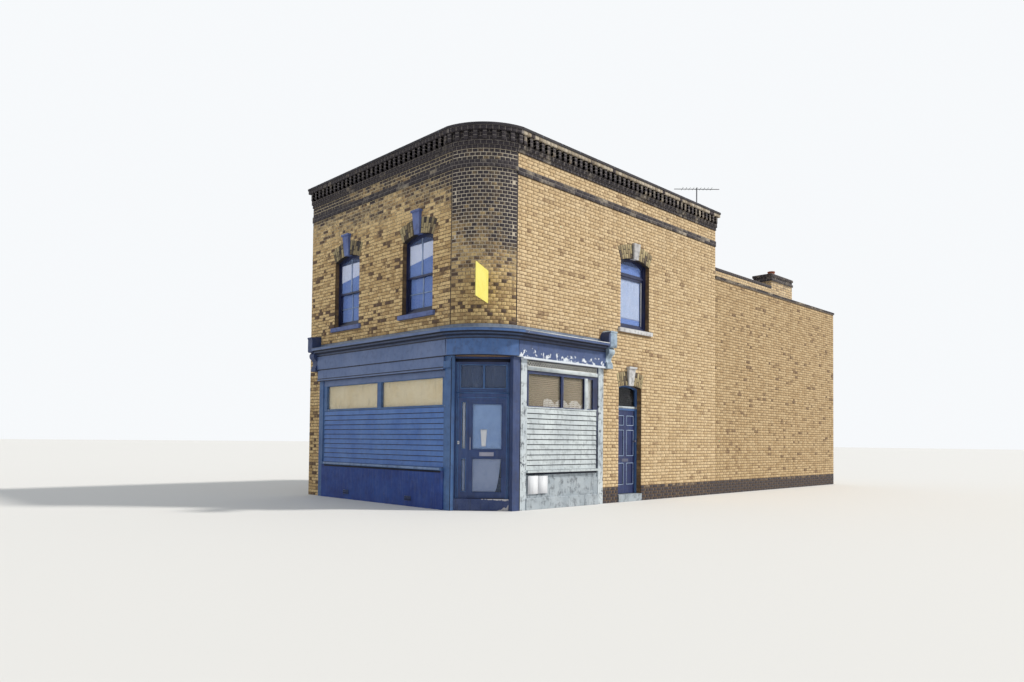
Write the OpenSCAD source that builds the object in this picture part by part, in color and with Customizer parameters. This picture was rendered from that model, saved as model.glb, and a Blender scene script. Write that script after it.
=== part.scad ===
// Corner shop building: two brick storeys around a bowed street corner,
// a timber shopfront on both streets, a side house door and a two-storey rear wing.
// The origin is at pavement level, in the middle of the bow's chord, under the corner door's step.
// The front wall runs to -X and faces -Y. The flank wall runs to +Y and faces +X.

/* [Plan] */
// Front wall, from the party line to the corner
front_l = 6420; // [6300:10:7000]
// Flank wall of the main block, from the corner to the rear wall
flank_l = 8700; // [8300:10:9600]
// Length of the rear wing beyond the main block
wing_l = 8050; // [7000:10:9500]
// Width of the rear wing
wing_w = 3050; // [2800:10:3800]
// Thickness of the two street walls and the bow, one and a half bricks
wall_t = 330; // [300:5:360]
// Thickness of the party, rear and wing walls, one brick
thin_t = 225; // [215:5:260]
// How far each street wall stops short of the corner
bow_leg = 930; // [900:5:960]
// Rise of the bow in front of its chord
bow_rise = 200; // [160:5:240]

/* [Levels] */
// Shop floor above the pavement
floor_z = 236; // [215:1:245]
// Floor of the side lobby above the pavement
lobby_z = 170; // [100:1:175]
// First floor boards above the pavement
upper_z = 3400; // [3360:5:3420]
// First floor boards of the rear wing
wing_upper_z = 2900; // [2850:5:3000]
// Thickness of an upper floor
joist_t = 200; // [150:5:220]
// Underside of the black coping on the street walls
coping_z = 7680; // [7640:5:7760]
// Thickness of the coping
coping_t = 65; // [50:1:80]
// Top of the wing walls, under the tile creasing
wing_top_z = 5935; // [5880:5:5980]

/* [Brickwork] */
// One brick course with its bed joint
course = 75; // [72:1:78]
// Half a brick, the depth of the outer leaf at a window
reveal = 105; // [95:1:115]
// How far the string course stands out
string_out = 22; // [10:1:30]
// How far the dentils stand out
dentil_out = 125; // [100:1:140]
// Spacing of the dentils
dentil_pitch = 175; // [160:1:190]
// Width of one dentil
dentil_w = 80; // [70:1:95]
// How far the coping oversails the wall
coping_out = 170; // [150:1:190]
// Depth of the gauged brick arches on the street walls
arch_h = 330; // [300:5:340]
// Depth of the rough brick arches on the rear walls
rear_arch_h = 225; // [210:5:235]
// How far the painted sills stand out
sill_out = 60; // [40:1:80]
// Height of a painted window sill
sill_h = 115; // [80:1:120]
// How far a sill runs past its opening at each end
sill_side = 90; // [40:5:110]

/* [Windows] */
// Centre of the left front window, from the corner
window_a = 4795; // [4600:5:4900]
// Centre of the right front window, from the corner
window_b = 2055; // [1900:5:2250]
// Width of the front windows
window_w = 1050; // [950:5:1100]
// Centre of the flank window, from the corner
window_c = 4975; // [4900:5:5200]
// Width of the flank window
flank_window_w = 1150; // [1000:5:1200]
// Underside of the upper window openings
window_z = 4110; // [4060:5:4160]
// Springing of the upper window arches
window_spring = 5690; // [5600:5:5740]
// Rise of the window arches
window_rise = 110; // [80:1:130]
// Width of the rear windows
rear_window_w = 900; // [800:5:1000]
// Height of the rear windows to their springing
rear_window_h = 1450; // [1300:5:1500]

/* [Shopfront] */
// Left end of the front shop window, from the corner
shop_l = 5715; // [5680:5:5740]
// Far end of the flank shop window, from the corner
shop_r = 3550; // [3520:5:3570]
// Width of the pilaster at the left end of the front
pilaster_w = 180; // [160:5:195]
// Width of the pilasters on the flank
flank_pilaster_w = 175; // [160:5:185]
// How far pilasters and posts stand out
pilaster_out = 40; // [30:1:50]
// Underside of the fascia board
fascia_z = 3100; // [3080:5:3130]
// Top of the fascia board
fascia_top = 3430; // [3410:5:3450]
// How far the fascia stands out
fascia_out = 100; // [90:1:110]
// Top of the timber cornice
cornice_top = 3620; // [3600:5:3640]
// How far the timber cornice stands out
cornice_out = 270; // [250:5:290]
// Top of the lead flashing at the wall
flashing_z = 3735; // [3715:5:3760]
// Depth of the timber beams and posts behind the shopfront
post_in = 215; // [190:5:230]
// Bearing of the beams on the brick piers
beam_bearing = 150; // [100:10:200]
// Sill rail of the front shop window
stall_z = 850; // [800:5:900]
// Underside of the glass in both shop windows
glass_z = 2120; // [2080:5:2160]
// Top of the glass in the front shop window
glass_top = 2675; // [2620:5:2700]
// Number of boards under the front glass
front_boards = 11; // [9:1:13]
// Number of boards under the flank glass
flank_boards = 12; // [10:1:14]

/* [Consoles] */
// Width of the square console head on the front
console_w = 210; // [200:5:240]
// Width of the rounded console head on the flank
flank_console_w = 300; // [280:5:310]
// How far a console head stands out
console_out = 250; // [230:5:265]
// Top of a console
console_top = 3935; // [3900:5:3960]
// Underside of the console head
console_mid = 3540; // [3510:5:3560]
// Foot of a console
console_z = 3070; // [3030:5:3090]

/* [Doors] */
// Width of the corner door leaf
door_w = 762; // [740:1:770]
// Height of both door leaves
door_h = 1981; // [1960:1:1990]
// Thickness of both door leaves
door_t = 44; // [40:1:54]
// Running gap around a door leaf
door_gap = 6; // [5.5:0.5:8]
// Width of the side door leaf
side_door_w = 768; // [750:1:774]
// Width of the side door opening
side_open_w = 905; // [900:1:940]
// Centre of the side door opening, from the corner
side_door_y = 4800; // [4760:5:4840]
// Springing of the side door arch
side_spring = 2690; // [2640:5:2720]

/* [Hidden] */
eps = 1;
joint = 3;
// Clearance between the corner door's frame and what it stands in
fit = 0.5;
root2 = sqrt(2);
wall_top = coping_z;
// The string course starts ten and a half courses under the coping
string_z = coping_z - 10.5 * course;
end_y = flank_l + wing_l;
bow_fn = 180;
arc_fn = 240;
// Circle of the bow: through both wall ends, bow_rise in front of their chord
chord = bow_leg * root2;
bow_r = (chord * chord / 4 + bow_rise * bow_rise) / (2 * bow_rise);
bow_c = bow_leg / 2 + (bow_r - bow_rise) / root2;
chord_x = -chord / 2;
big = 20000;

// The walls are drawn from the point where the street walls would meet.
// placed() then sets the origin on the middle of the bow's chord.

module placed() {
    translate([bow_leg / 2, -bow_leg / 2, 0]) children();
}

// Carrying a profile (x outward, y up) along the streets

module front_run(x0, x1) {
    translate([x0, 0, 0]) rotate([90, 0, 90]) linear_extrude(x1 - x0) mirror([1, 0]) children();
}

module flank_run(y0, y1) {
    translate([0, y1, 0]) rotate([90, 0, 0]) linear_extrude(y1 - y0) children();
}

module bow_clip() {
    translate([-bow_leg, -big, -big / 2]) cube([big, big + bow_leg, big]);
}

module bow_run() {
    intersection() {
        translate([-bow_c, bow_c, 0]) rotate([0, 0, -90]) rotate_extrude(angle = 90, $fn = bow_fn)
            translate([bow_r, 0]) children();
        bow_clip();
    }
}

// Interior outline of the main block, set in from the wall faces

module bow_disc(r) {
    intersection() {
        translate([-bow_leg, 0]) square([bow_leg, bow_leg]);
        translate([-bow_c, bow_c]) circle(r = r, $fn = bow_fn);
    }
}

module interior(corner = true) {
    x0 = -front_l + thin_t;
    y1 = flank_l - thin_t;
    translate([x0, wall_t]) square([-bow_leg - x0, y1 - wall_t]);
    translate([x0, bow_leg]) square([-wall_t - x0, y1 - bow_leg]);
    if (corner) bow_disc(bow_r - wall_t);
}

// Placing a local frame (x along the wall, y inward from its face) on each wall

module at_front(x) {
    translate([-x, 0, 0]) children();
}

module at_flank(y) {
    translate([0, y, 0]) rotate([0, 0, 90]) children();
}

module at_rear(x) {
    translate([-x, flank_l, 0]) rotate([0, 0, 180]) children();
}

module at_yard(y) {
    translate([-wing_w, y, 0]) rotate([0, 0, -90]) children();
}

module at_end(x) {
    translate([-x, end_y, 0]) rotate([0, 0, 180]) children();
}

// The corner's own frame: x outward on the diagonal, y along the chord

module at_corner() {
    rotate([0, 0, -45]) children();
}

// Openings: [side, centre, width, underside, springing, rise, height of the keystone, its cap]

key_cap = 45;
front_key_h = 510;
flank_key_h = 380;
door_key_h = 450;
sash_openings = [
    ["front", window_a, window_w, window_z, window_spring, window_rise, front_key_h, key_cap],
    ["front", window_b, window_w, window_z, window_spring, window_rise, front_key_h, key_cap]
];
flank_opening = ["flank", window_c, flank_window_w, window_z, window_spring, window_rise, flank_key_h, 0];
street_openings = concat(sash_openings, [flank_opening]);
rear_rise = 60;
low_window_h = 1250;
high_window_h = 1150;
yard_a = flank_l + wing_l * 0.28;
yard_b = flank_l + wing_l * 0.76;
yard_low = 1000;
yard_high = 3660;
main_low = 1050;
main_mid = (front_l + wing_w) / 2;
rear_openings = [
    ["rear", main_mid, rear_window_w, main_low, main_low + rear_window_h, rear_rise],
    ["rear", main_mid, rear_window_w, window_z, window_z + rear_window_h, rear_rise],
    ["yard", yard_a, rear_window_w, yard_low, yard_low + low_window_h, rear_rise],
    ["yard", yard_a, rear_window_w, yard_high, yard_high + high_window_h, rear_rise],
    ["yard", yard_b, rear_window_w, yard_high, yard_high + high_window_h, rear_rise],
    ["end", wing_w / 2, rear_window_w, yard_high, yard_high + high_window_h, rear_rise]
];
back_door_w = 860;
back_door_top = 2240;
side_opening = ["flank", side_door_y, side_open_w, 0, side_spring, rear_rise, door_key_h, key_cap];
back_opening = ["yard", yard_b, back_door_w, 0, back_door_top, rear_rise];
rebate = 60;
sill_in = 60;

// Only street openings have a keystone and a deep arch
function ring(win) = len(win) > 6 ? arch_h : rear_arch_h;

module on_side(side, pos) {
    if (side == "front") at_front(pos) children();
    if (side == "flank") at_flank(pos) children();
    if (side == "rear") at_rear(pos) children();
    if (side == "yard") at_yard(pos) children();
    if (side == "end") at_end(pos) children();
}

function arc_r(w, rise) = (w * w / 4 + rise * rise) / (2 * rise);

// Outline of an opening with a segmental head, x centred

module head_shape(w, z0, spring, rise) {
    r = arc_r(w, rise);
    intersection() {
        translate([0, spring + rise - r]) circle(r = r, $fn = arc_fn);
        translate([-w / 2, z0]) square([w, spring + rise + eps - z0]);
    }
}

// Sector under a curved back, splayed from the springing of the arch at both ends

bed = 4;

module arch_sector(w, spring, rise, h) {
    r = arc_r(w, rise);
    cz = spring + rise - r;
    top = 2 * r;
    side = top * (w / 2 + bed) / (r - rise);
    intersection() {
        translate([0, cz]) circle(r = r + h, $fn = arc_fn);
        polygon([[0, cz], [-side, cz + top], [side, cz + top]]);
    }
}

// Brick fan between the soffit and its curved back

module arch_shape(w, spring, rise, h) {
    r = arc_r(w, rise);
    difference() {
        arch_sector(w, spring, rise, h);
        translate([0, spring + rise - r]) circle(r = r, $fn = arc_fn);
    }
}

// What the arch and the opening under it take out of the outer leaf

module arch_opening(w, z0, spring, rise, h) {
    translate([0, -eps, 0]) plate(reveal + eps) intersection() {
        arch_sector(w, spring, rise, h);
        translate([-w, spring - 100]) square([2 * w, 3 * h]);
    }
    translate([-w / 2, -eps, z0]) cube([w, reveal + 2 * eps, spring - bed - z0]);
}

module plate(depth) {
    translate([0, depth, 0]) rotate([90, 0, 0]) linear_extrude(depth) children();
}

// What a window takes out of a wall: its opening, its arch and the rebate of its box frame

module window_cut(win, t) {
    w = win[2];
    on_side(win[0], win[1]) {
        arch_opening(w, win[3], win[4], win[5], ring(win));
        translate([-w / 2 - rebate, reveal, win[3]])
            cube([w + 2 * rebate, t - reveal + eps, win[4] + win[5] + 20 - win[3]]);
    }
}

module door_cut(door, t) {
    on_side(door[0], door[1]) {
        translate([0, -eps, 0]) plate(t + 2 * eps) head_shape(door[2], -eps, door[4], door[5]);
        arch_opening(door[2], -eps, door[4], door[5], ring(door));
    }
}

module sill_cut(win, t) {
    on_side(win[0], win[1])
        translate([-win[2] / 2 - sill_side, -eps, win[3] - sill_h])
            cube([win[2] + 2 * sill_side, reveal + sill_in, sill_h]);
}

brick = [0.66, 0.55, 0.38];
soot = [0.24, 0.21, 0.20];
blue = [0.24, 0.31, 0.47];
dark_blue = [0.16, 0.20, 0.32];
pale = [0.78, 0.80, 0.80];
wood = [0.45, 0.36, 0.27];
slate = [0.30, 0.32, 0.36];
lead = [0.33, 0.38, 0.44];
steel = [0.6, 0.62, 0.64];
black = [0.08, 0.08, 0.09];
glass = [0.5, 0.6, 0.68, 0.6];

// Floors

lap = 8;
riser_in = 120;
lobby_in = 900;

module ground_floor() {
    color(wood) placed() difference() {
        linear_extrude(floor_z) difference() {
            union() {
                interior(corner = false);
                translate([-shop_l, riser_in]) square([shop_l - front_right, wall_t]);
                translate([-wall_t, flank_left]) square([wall_t - riser_in, shop_r - flank_left]);
                translate([-front_right, post_in]) square([front_right - bow_leg, wall_t]);
                translate([-wall_t, bow_leg]) square([wall_t - post_in, flank_left - bow_leg]);
                polygon([[-bow_leg, bow_leg], [-bow_leg, wall_t],
                    diag(post_back, -post_u - lap), diag(frame_back, -post_u - lap),
                    diag(frame_back, post_r + lap), diag(post_back, post_r + lap),
                    [-wall_t, bow_leg]]);
            }
            post_plan(post_u, front_right);
            mirror([1, 1, 0]) post_plan(post_r, post_end);
        }
        translate([-wall_t - lobby_in, side_door_y - side_open_w / 2 - rebate, lobby_z])
            cube([lobby_in + eps, side_open_w + 2 * rebate, floor_z]);
    }
}

module first_floor() {
    color(wood) placed() translate([0, 0, upper_z - joist_t]) linear_extrude(joist_t)
        interior();
}

module wing_interior() {
    translate([-wing_w + thin_t, flank_l]) square([wing_w - 2 * thin_t, wing_l - thin_t]);
}

module wing_floors() {
    color(wood) placed() {
        linear_extrude(lobby_z) wing_interior();
        translate([0, 0, wing_upper_z - joist_t]) linear_extrude(joist_t) wing_interior();
    }
}

// Walls

console_gap = 30;
pier_x = shop_l + pilaster_w + console_gap;
pier_y = shop_r + flank_pilaster_w;
// Where the flank console's head cuts the timber cornice short
head_y = pier_y - 75;

module front_wall() {
    color(brick) placed() difference() {
        translate([-front_l, 0, 0]) cube([front_l - bow_leg, wall_t, wall_top]);
        translate([-shop_l, -eps, -eps]) cube([shop_l, wall_t + 2 * eps, fascia_top + eps]);
        translate([-shop_l - beam_bearing, beam_face, fascia_z]) cube([shop_l, wall_t, beam_h]);
        for (win = street_openings) if (win[0] == "front") {
            window_cut(win, wall_t);
            sill_cut(win, wall_t);
        }
    }
}

module corner_wall() {
    color(brick) placed() bow_run() translate([-wall_t, fascia_top])
        square([wall_t, wall_top - fascia_top]);
}

module flank_wall() {
    color(brick) placed() difference() {
        translate([-wall_t, bow_leg, 0]) cube([wall_t, flank_l - bow_leg, wall_top]);
        translate([-wall_t - eps, 0, -eps]) cube([wall_t + 2 * eps, shop_r, fascia_top + eps]);
        translate([-wall_t - eps, 0, fascia_z])
            cube([wall_t - beam_face + eps, shop_r + beam_bearing, beam_h]);
        for (win = street_openings) if (win[0] == "flank") {
            window_cut(win, wall_t);
            sill_cut(win, wall_t);
        }
        door_cut(side_opening, wall_t);
    }
}

roof_low = coping_z - 1180;
roof_high = coping_z - 530;
roof_t = 150;
rear_upstand = 250;
valley_x = -front_l / 2;

module party_wall() {
    color(brick) placed() translate([-front_l, wall_t, 0]) cube([thin_t, flank_l - wall_t, wall_top - 150]);
}

module rear_wall() {
    color(brick) placed() difference() {
        translate([-front_l + thin_t, flank_l, 0]) rotate([90, 0, 0]) linear_extrude(thin_t)
            polygon([[0, 0], [front_l - thin_t - wall_t, 0],
                [front_l - thin_t - wall_t, roof_high + rear_upstand],
                [front_l - thin_t + valley_x, roof_low + rear_upstand], [0, roof_high + rear_upstand]]);
        for (win = rear_openings) if (win[0] == "rear") {
            window_cut(win, thin_t);
            sill_cut(win, thin_t);
        }
    }
}

wing_eave = wing_top_z - 785;

module wing_flank_wall() {
    color(brick) placed() translate([-thin_t, flank_l, 0]) cube([thin_t, wing_l, wing_top_z]);
}

module wing_yard_wall() {
    color(brick) placed() difference() {
        translate([-wing_w, flank_l, 0]) cube([thin_t, wing_l, wing_eave]);
        for (win = rear_openings) if (win[0] == "yard") {
            window_cut(win, thin_t);
            sill_cut(win, thin_t);
        }
        door_cut(back_opening, thin_t);
    }
}

module wing_end_wall() {
    color(brick) placed() difference() {
        translate([-wing_w + thin_t, end_y, 0]) rotate([90, 0, 0]) linear_extrude(thin_t)
            polygon([[0, 0], [wing_w - 2 * thin_t, 0], [wing_w - 2 * thin_t, wing_top_z], [0, wing_eave]]);
        for (win = rear_openings) if (win[0] == "end") {
            window_cut(win, thin_t);
            sill_cut(win, thin_t);
        }
    }
}

// Corbelled brick cornice: courses step out under the coping, with a dentil band in them

corbel_z = coping_z - 5.5 * course;
corbel_a = 25;
corbel_b = 55;
corbel_c = 150;
dentil_z = corbel_z + 2 * course;
dentil_top = coping_z - course;
first_dentil = bow_leg + 60;

module corbel_profile() {
    polygon([[0, corbel_z], [corbel_a, corbel_z], [corbel_a, corbel_z + course],
        [corbel_b, corbel_z + course], [corbel_b, dentil_top], [corbel_c, dentil_top],
        [corbel_c, coping_z], [0, coping_z]]);
}

module string_profile(drop = 0) {
    translate([0, string_z - drop]) square([string_out, 2 * course - 5]);
}

module dentil_profile() {
    translate([corbel_b, dentil_z]) square([dentil_out - corbel_b, dentil_top - dentil_z]);
}

dentils_front = floor((front_l - bow_leg) / dentil_pitch);
dentils_flank = floor((flank_l - bow_leg) / dentil_pitch);
dentil_step = dentil_pitch / bow_r * 180 / PI;

module front_cornice() {
    color(soot) placed() {
        front_run(-front_l, -bow_leg) corbel_profile();
        for (i = [0 : dentils_front - 1])
            front_run(-first_dentil - i * dentil_pitch - dentil_w, -first_dentil - i * dentil_pitch)
                dentil_profile();
        front_run(-front_l, -bow_leg) string_profile();
    }
}

module corner_cornice() {
    color(soot) placed() {
        bow_run() corbel_profile();
        for (i = [-4 : 4])
            translate([-bow_c, bow_c, 0]) rotate([0, 0, -45 + i * dentil_step])
                translate([bow_r, -dentil_w / 2, 0]) rotate([90, 0, 0]) mirror([0, 0, 1])
                    linear_extrude(dentil_w) dentil_profile();
        bow_run() string_profile();
    }
}

module flank_cornice() {
    color(soot) placed() {
        flank_run(bow_leg, flank_l) corbel_profile();
        for (i = [0 : dentils_flank - 1])
            flank_run(first_dentil + i * dentil_pitch, first_dentil + i * dentil_pitch + dentil_w)
                dentil_profile();
        flank_run(bow_leg, flank_l) string_profile(course);
    }
}

module coping_profile(t) {
    polygon([[-t - 30, coping_z], [coping_out, coping_z], [coping_out, coping_z + coping_t - 15],
        [-t - 30, coping_z + coping_t]]);
}

module parapet_coping() {
    color(soot) placed() {
        front_run(-front_l, -bow_leg - joint) coping_profile(wall_t);
        bow_run() coping_profile(wall_t);
        flank_run(bow_leg + joint, flank_l) coping_profile(wall_t);
    }
}

// Arches, keystones and sills

key_w = 170;
key_top_w = 255;
key_out = 35;
key_top_out = 70;
cap_over = 25;

function key_z0(win) = win[4] + win[5] - 15;
function key_z1(win) = key_z0(win) + win[6] - win[7];

module key_shape(win) {
    polygon([[-key_w / 2, key_z0(win)], [key_w / 2, key_z0(win)],
        [key_top_w / 2, key_z1(win)], [-key_top_w / 2, key_z1(win)]]);
}

module brick_arch(win) {
    on_side(win[0], win[1]) plate(reveal) difference() {
        arch_shape(win[2], win[4], win[5], ring(win));
        if (len(win) > 6) key_shape(win);
    }
}

module brick_arches() {
    color(soot) placed() {
        for (win = street_openings) brick_arch(win);
        for (win = rear_openings) brick_arch(win);
        brick_arch(side_opening);
        brick_arch(back_opening);
    }
}

// The key's face leans out towards its top, where a capped one carries a square cap

module keystone(win) {
    z0 = key_z0(win);
    z1 = key_z1(win);
    on_side(win[0], win[1]) {
        intersection() {
            translate([0, -key_top_out, 0]) plate(key_top_out) key_shape(win);
            translate([-key_top_w / 2, 0, 0]) rotate([90, 0, 90]) linear_extrude(key_top_w)
                polygon([[0, z0], [-key_out, z0], [-key_top_out, z1], [0, z1]]);
        }
        plate(reveal) intersection() {
            key_shape(win);
            arch_shape(win[2], win[4], win[5], arch_h);
        }
        if (win[7] > 0) translate([-key_top_w / 2 - cap_over, -key_top_out - cap_over, z1])
            cube([key_top_w + 2 * cap_over, key_top_out + cap_over, win[7]]);
    }
}

module keystones() {
    color(blue) placed() {
        for (win = street_openings) keystone(win);
        keystone(side_opening);
    }
}

// Weathered sill: a sloping top, a square nose and a drip groove under it

sill_fall = 22;
drip = 12;

module sill(win) {
    w = win[2] + 2 * sill_side;
    inner = reveal + sill_in - eps;
    on_side(win[0], win[1]) translate([-w / 2, 0, win[3]]) rotate([90, 0, 90]) linear_extrude(w)
        polygon([[-sill_out, -sill_h], [-sill_out, -sill_fall], [inner, 0], [inner, -sill_h],
            [0, -sill_h], [0, drip - sill_h], [-drip, drip - sill_h], [-drip, -sill_h]]);
}

module window_sills() {
    color(blue) placed() {
        for (win = street_openings) sill(win);
        for (win = rear_openings) sill(win);
    }
}

// Roofs behind the parapets: a butterfly roof on the main block, a lean-to on the wing

module main_roof() {
    color(slate) placed() intersection() {
        translate([0, flank_l, 0]) rotate([90, 0, 0]) linear_extrude(flank_l) polygon([
            [-front_l, roof_high], [valley_x, roof_low], [0, roof_high],
            [0, roof_high + roof_t], [valley_x, roof_low + roof_t], [-front_l, roof_high + roof_t]]);
        translate([0, 0, roof_low - 500]) linear_extrude(2000) interior();
    }
}

wing_roof_t = 130;
wing_slope = (wing_top_z - 60 - wing_roof_t - wing_eave) / (wing_w - 2 * thin_t);
wing_over = 110;
crease_t = 75;
crease_out = 35;
raised_h = 180;
stack_y = flank_l + wing_l * 0.415;
stack_l = 1430;
stack_d = 590;
stack_top = wing_top_z + 705;
stack_foot = wing_top_z - 435;
cowl = [-thin_t - 90, stack_y + stack_l + 330];
cowl_r = 50;
cowl_h = 1050;

function wing_soffit(x) = wing_eave + (x + wing_w - thin_t) * wing_slope;

module wing_roof() {
    x0 = -wing_w - wing_over;
    color(slate) placed() difference() {
        translate([0, end_y - thin_t, 0]) rotate([90, 0, 0]) linear_extrude(wing_l - thin_t)
            polygon([[-wing_w, wing_eave], [-wing_w + thin_t, wing_eave], [-thin_t, wing_soffit(-thin_t)],
                [-thin_t, wing_soffit(-thin_t) + wing_roof_t], [x0, wing_soffit(x0) + wing_roof_t],
                [x0, wing_eave + 10], [-wing_w, wing_eave + 10]]);
        stack_shaft();
        cowl_pipe();
    }
}

// Tile creasing along the wing wall, and the raised parapet between the rear wall and the stack

module wing_coping() {
    color(soot) placed() {
        translate([0, 0, wing_top_z]) flank_run(flank_l, end_y)
            polygon([[-thin_t - crease_out, 0], [0, 0], [crease_out, 20], [crease_out, crease_t],
                [-thin_t - crease_out, crease_t]]);
        translate([0, 0, wing_top_z + crease_t]) flank_run(flank_l, stack_y)
            polygon([[-thin_t, 0], [0, 0], [0, raised_h], [10, raised_h], [10, raised_h + 60],
                [-thin_t - 10, raised_h + 60], [-thin_t - 10, raised_h], [-thin_t, raised_h]]);
    }
}

// Chimney stack on the wing wall, with its inner half carried down through the roof

module stack_shaft() {
    translate([-stack_d, stack_y, stack_foot])
        cube([stack_d - thin_t - crease_out, stack_l, stack_top - stack_foot]);
}

module wing_stack() {
    color(soot) placed() {
        stack_shaft();
        translate([-stack_d, stack_y, wing_top_z + crease_t])
            cube([stack_d, stack_l, stack_top - wing_top_z - crease_t]);
        for (z = [stack_top - 3 * course, stack_top - course])
            translate([-stack_d - 25, stack_y - 25, z]) cube([stack_d + 50, stack_l + 50, course]);
    }
}

module chimney_pot() {
    color([0.62, 0.33, 0.22]) placed() translate([-stack_d / 2, stack_y + stack_l * 0.42, stack_top])
        rotate_extrude($fn = 48)
            polygon([[95, 0], [130, 0], [130, 40], [110, 60], [100, 150], [115, 160], [115, 190], [85, 190]]);
}

module cowl_pipe() {
    translate([cowl[0], cowl[1], stack_foot]) cylinder(h = cowl_h, r = cowl_r, $fn = 32);
}

module vent_cowl() {
    color(black) placed() {
        cowl_pipe();
        translate([cowl[0], cowl[1], stack_foot + cowl_h]) cylinder(h = 90, r = cowl_r + 35, $fn = 32);
    }
}

mast_top = coping_z + 800;
mast_in = 60;
mast_back = 330;
boom_l = 1250;
boom_r = 10;

module aerial() {
    mast_foot = roof_high + roof_t + 60;
    color(steel) placed() translate([-wall_t - mast_in, flank_l - mast_back, 0]) {
        translate([0, 0, mast_foot]) cylinder(h = mast_top - mast_foot, r = 16, $fn = 24);
        for (z = [mast_foot + 40, mast_foot + 220]) translate([0, -20, z]) cube([mast_in, 40, 30]);
        translate([0, 0, mast_top - 4 * boom_r]) rotate([0, 0, 45]) rotate([0, 90, 0])
            cylinder(h = boom_l, r = boom_r, center = true, $fn = 16);
    }
}

// Box frame of a window, in the rebate behind the brick reveal, with a segmental opening

frame_in = 32;
frame_d = 115;
frame_sill = 60;
head_drop = 25;
sash_t = 42;
sash_y = 15;
stile = 45;
rail = 20;
pane_t = 4;

function light_w(win) = win[2] - 2 * frame_in;
function light_spring(win) = win[4] - win[3] - head_drop;
function meeting(win) = (win[4] - win[3]) / 2 + 10;

module box_frame(win, w) {
    full_w = win[2] + 2 * rebate - 2;
    difference() {
        translate([-full_w / 2, 1, 0]) cube([full_w, frame_d, win[4] + win[5] + 18 - win[3]]);
        plate(frame_d + 5) head_shape(w, frame_sill, light_spring(win), win[5]);
    }
}

module span(w, z0, z1) {
    translate([-w / 2, z0]) square([w, z1 - z0]);
}

// Sash window: the upper sash follows the arch in front, the lower one slides behind it

module upper_light(win) {
    head_shape(light_w(win) - 2 * stile, meeting(win) + rail, light_spring(win) - stile, win[5]);
}

module lower_light(win) {
    span(light_w(win) - 2 * stile, frame_sill + 65, meeting(win) - rail);
}

module sash_window(win) {
    on_side(win[0], win[1]) translate([0, reveal, win[3]]) {
        box_frame(win, light_w(win));
        translate([0, sash_y, 0]) plate(sash_t) difference() {
            head_shape(light_w(win), meeting(win) - rail, light_spring(win), win[5]);
            upper_light(win);
        }
        translate([0, sash_y + sash_t, 0]) plate(sash_t) difference() {
            span(light_w(win) + 2 * eps, frame_sill - eps, meeting(win) + rail);
            lower_light(win);
        }
    }
}

module sash_panes(win) {
    y = sash_y + (sash_t - pane_t) / 2;
    on_side(win[0], win[1]) translate([0, reveal, win[3]]) {
        translate([0, y, 0]) plate(pane_t) upper_light(win);
        translate([0, y + sash_t, 0]) plate(pane_t) lower_light(win);
    }
}

// The flank window has a top light over one tall casement, between wide jambs

flank_jamb = 105;
casement_stile = 60;
top_light_z = 1305;
flank_transom_t = 50;

module casement_shape(w, z1, edge) {
    span(w - 2 * edge, frame_sill - eps + edge, z1 - edge);
}

module top_light(win, edge) {
    head_shape(win[2] - 2 * flank_jamb - 2 * edge, top_light_z + edge, light_spring(win) - edge, win[5]);
}

module flank_window(win) {
    w = win[2] - 2 * flank_jamb;
    casement_top = top_light_z - flank_transom_t;
    on_side(win[0], win[1]) translate([0, reveal, win[3]]) {
        box_frame(win, w);
        translate([0, sash_y - 8, 0]) plate(frame_d - sash_y) span(w + 2 * eps, casement_top, top_light_z);
        translate([0, sash_y + 10, 0]) plate(sash_t) {
            difference() {
                casement_shape(w + 2 * eps, casement_top + eps, 0);
                casement_shape(w, casement_top, casement_stile);
            }
            difference() {
                top_light(win, -eps);
                top_light(win, frame_in);
            }
        }
    }
}

module flank_panes(win) {
    w = win[2] - 2 * flank_jamb;
    y = sash_y + 10 + (sash_t - pane_t) / 2;
    on_side(win[0], win[1]) translate([0, reveal + y, win[3]]) plate(pane_t) {
        casement_shape(w, top_light_z - flank_transom_t, casement_stile);
        top_light(win, frame_in);
    }
}

module street_windows() {
    color(blue) placed() {
        for (win = sash_openings) sash_window(win);
        flank_window(flank_opening);
    }
}

module rear_windows() {
    color(pale) placed() for (win = rear_openings) sash_window(win);
}

module window_glass() {
    color(glass) placed() {
        for (win = sash_openings) sash_panes(win);
        flank_panes(flank_opening);
        for (win = rear_openings) sash_panes(win);
        at_flank(side_door_y) translate([0, side_in + 30, 0]) plate(6) fanlight_shape();
    }
}

door_panel_in = 12;

module back_door() {
    w = back_door_w;
    panel_w = w / 2 - 130;
    color(blue) placed() at_yard(yard_b) {
        difference() {
            translate([0, reveal, 0]) plate(70) head_shape(w, lobby_z, back_door_top, rear_rise);
            for (s = [-1, 1]) for (row = [[340, 560], [1100, 860]])
                translate([s * w / 4 - panel_w / 2, reveal - eps, row[0]])
                    cube([panel_w, door_panel_in + eps, row[1]]);
        }
        translate([-w / 2, -60, 0]) cube([w, 60 + thin_t, lobby_z]);
    }
}

// Shopfront: beams that carry the brickwork, and the entablature in front of them

beam_face = 20;
beam_h = fascia_top - fascia_z;

module beam_profile() {
    translate([-wall_t, fascia_z]) square([wall_t - beam_face, beam_h]);
}

module shop_beams() {
    color(wood) placed() {
        front_run(-shop_l - beam_bearing, -bow_leg) beam_profile();
        bow_run() beam_profile();
        flank_run(bow_leg, shop_r + beam_bearing) beam_profile();
    }
}

// Moulded cornice: a hollow, then a quarter round, then a square lip with a nib under its edge

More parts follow.
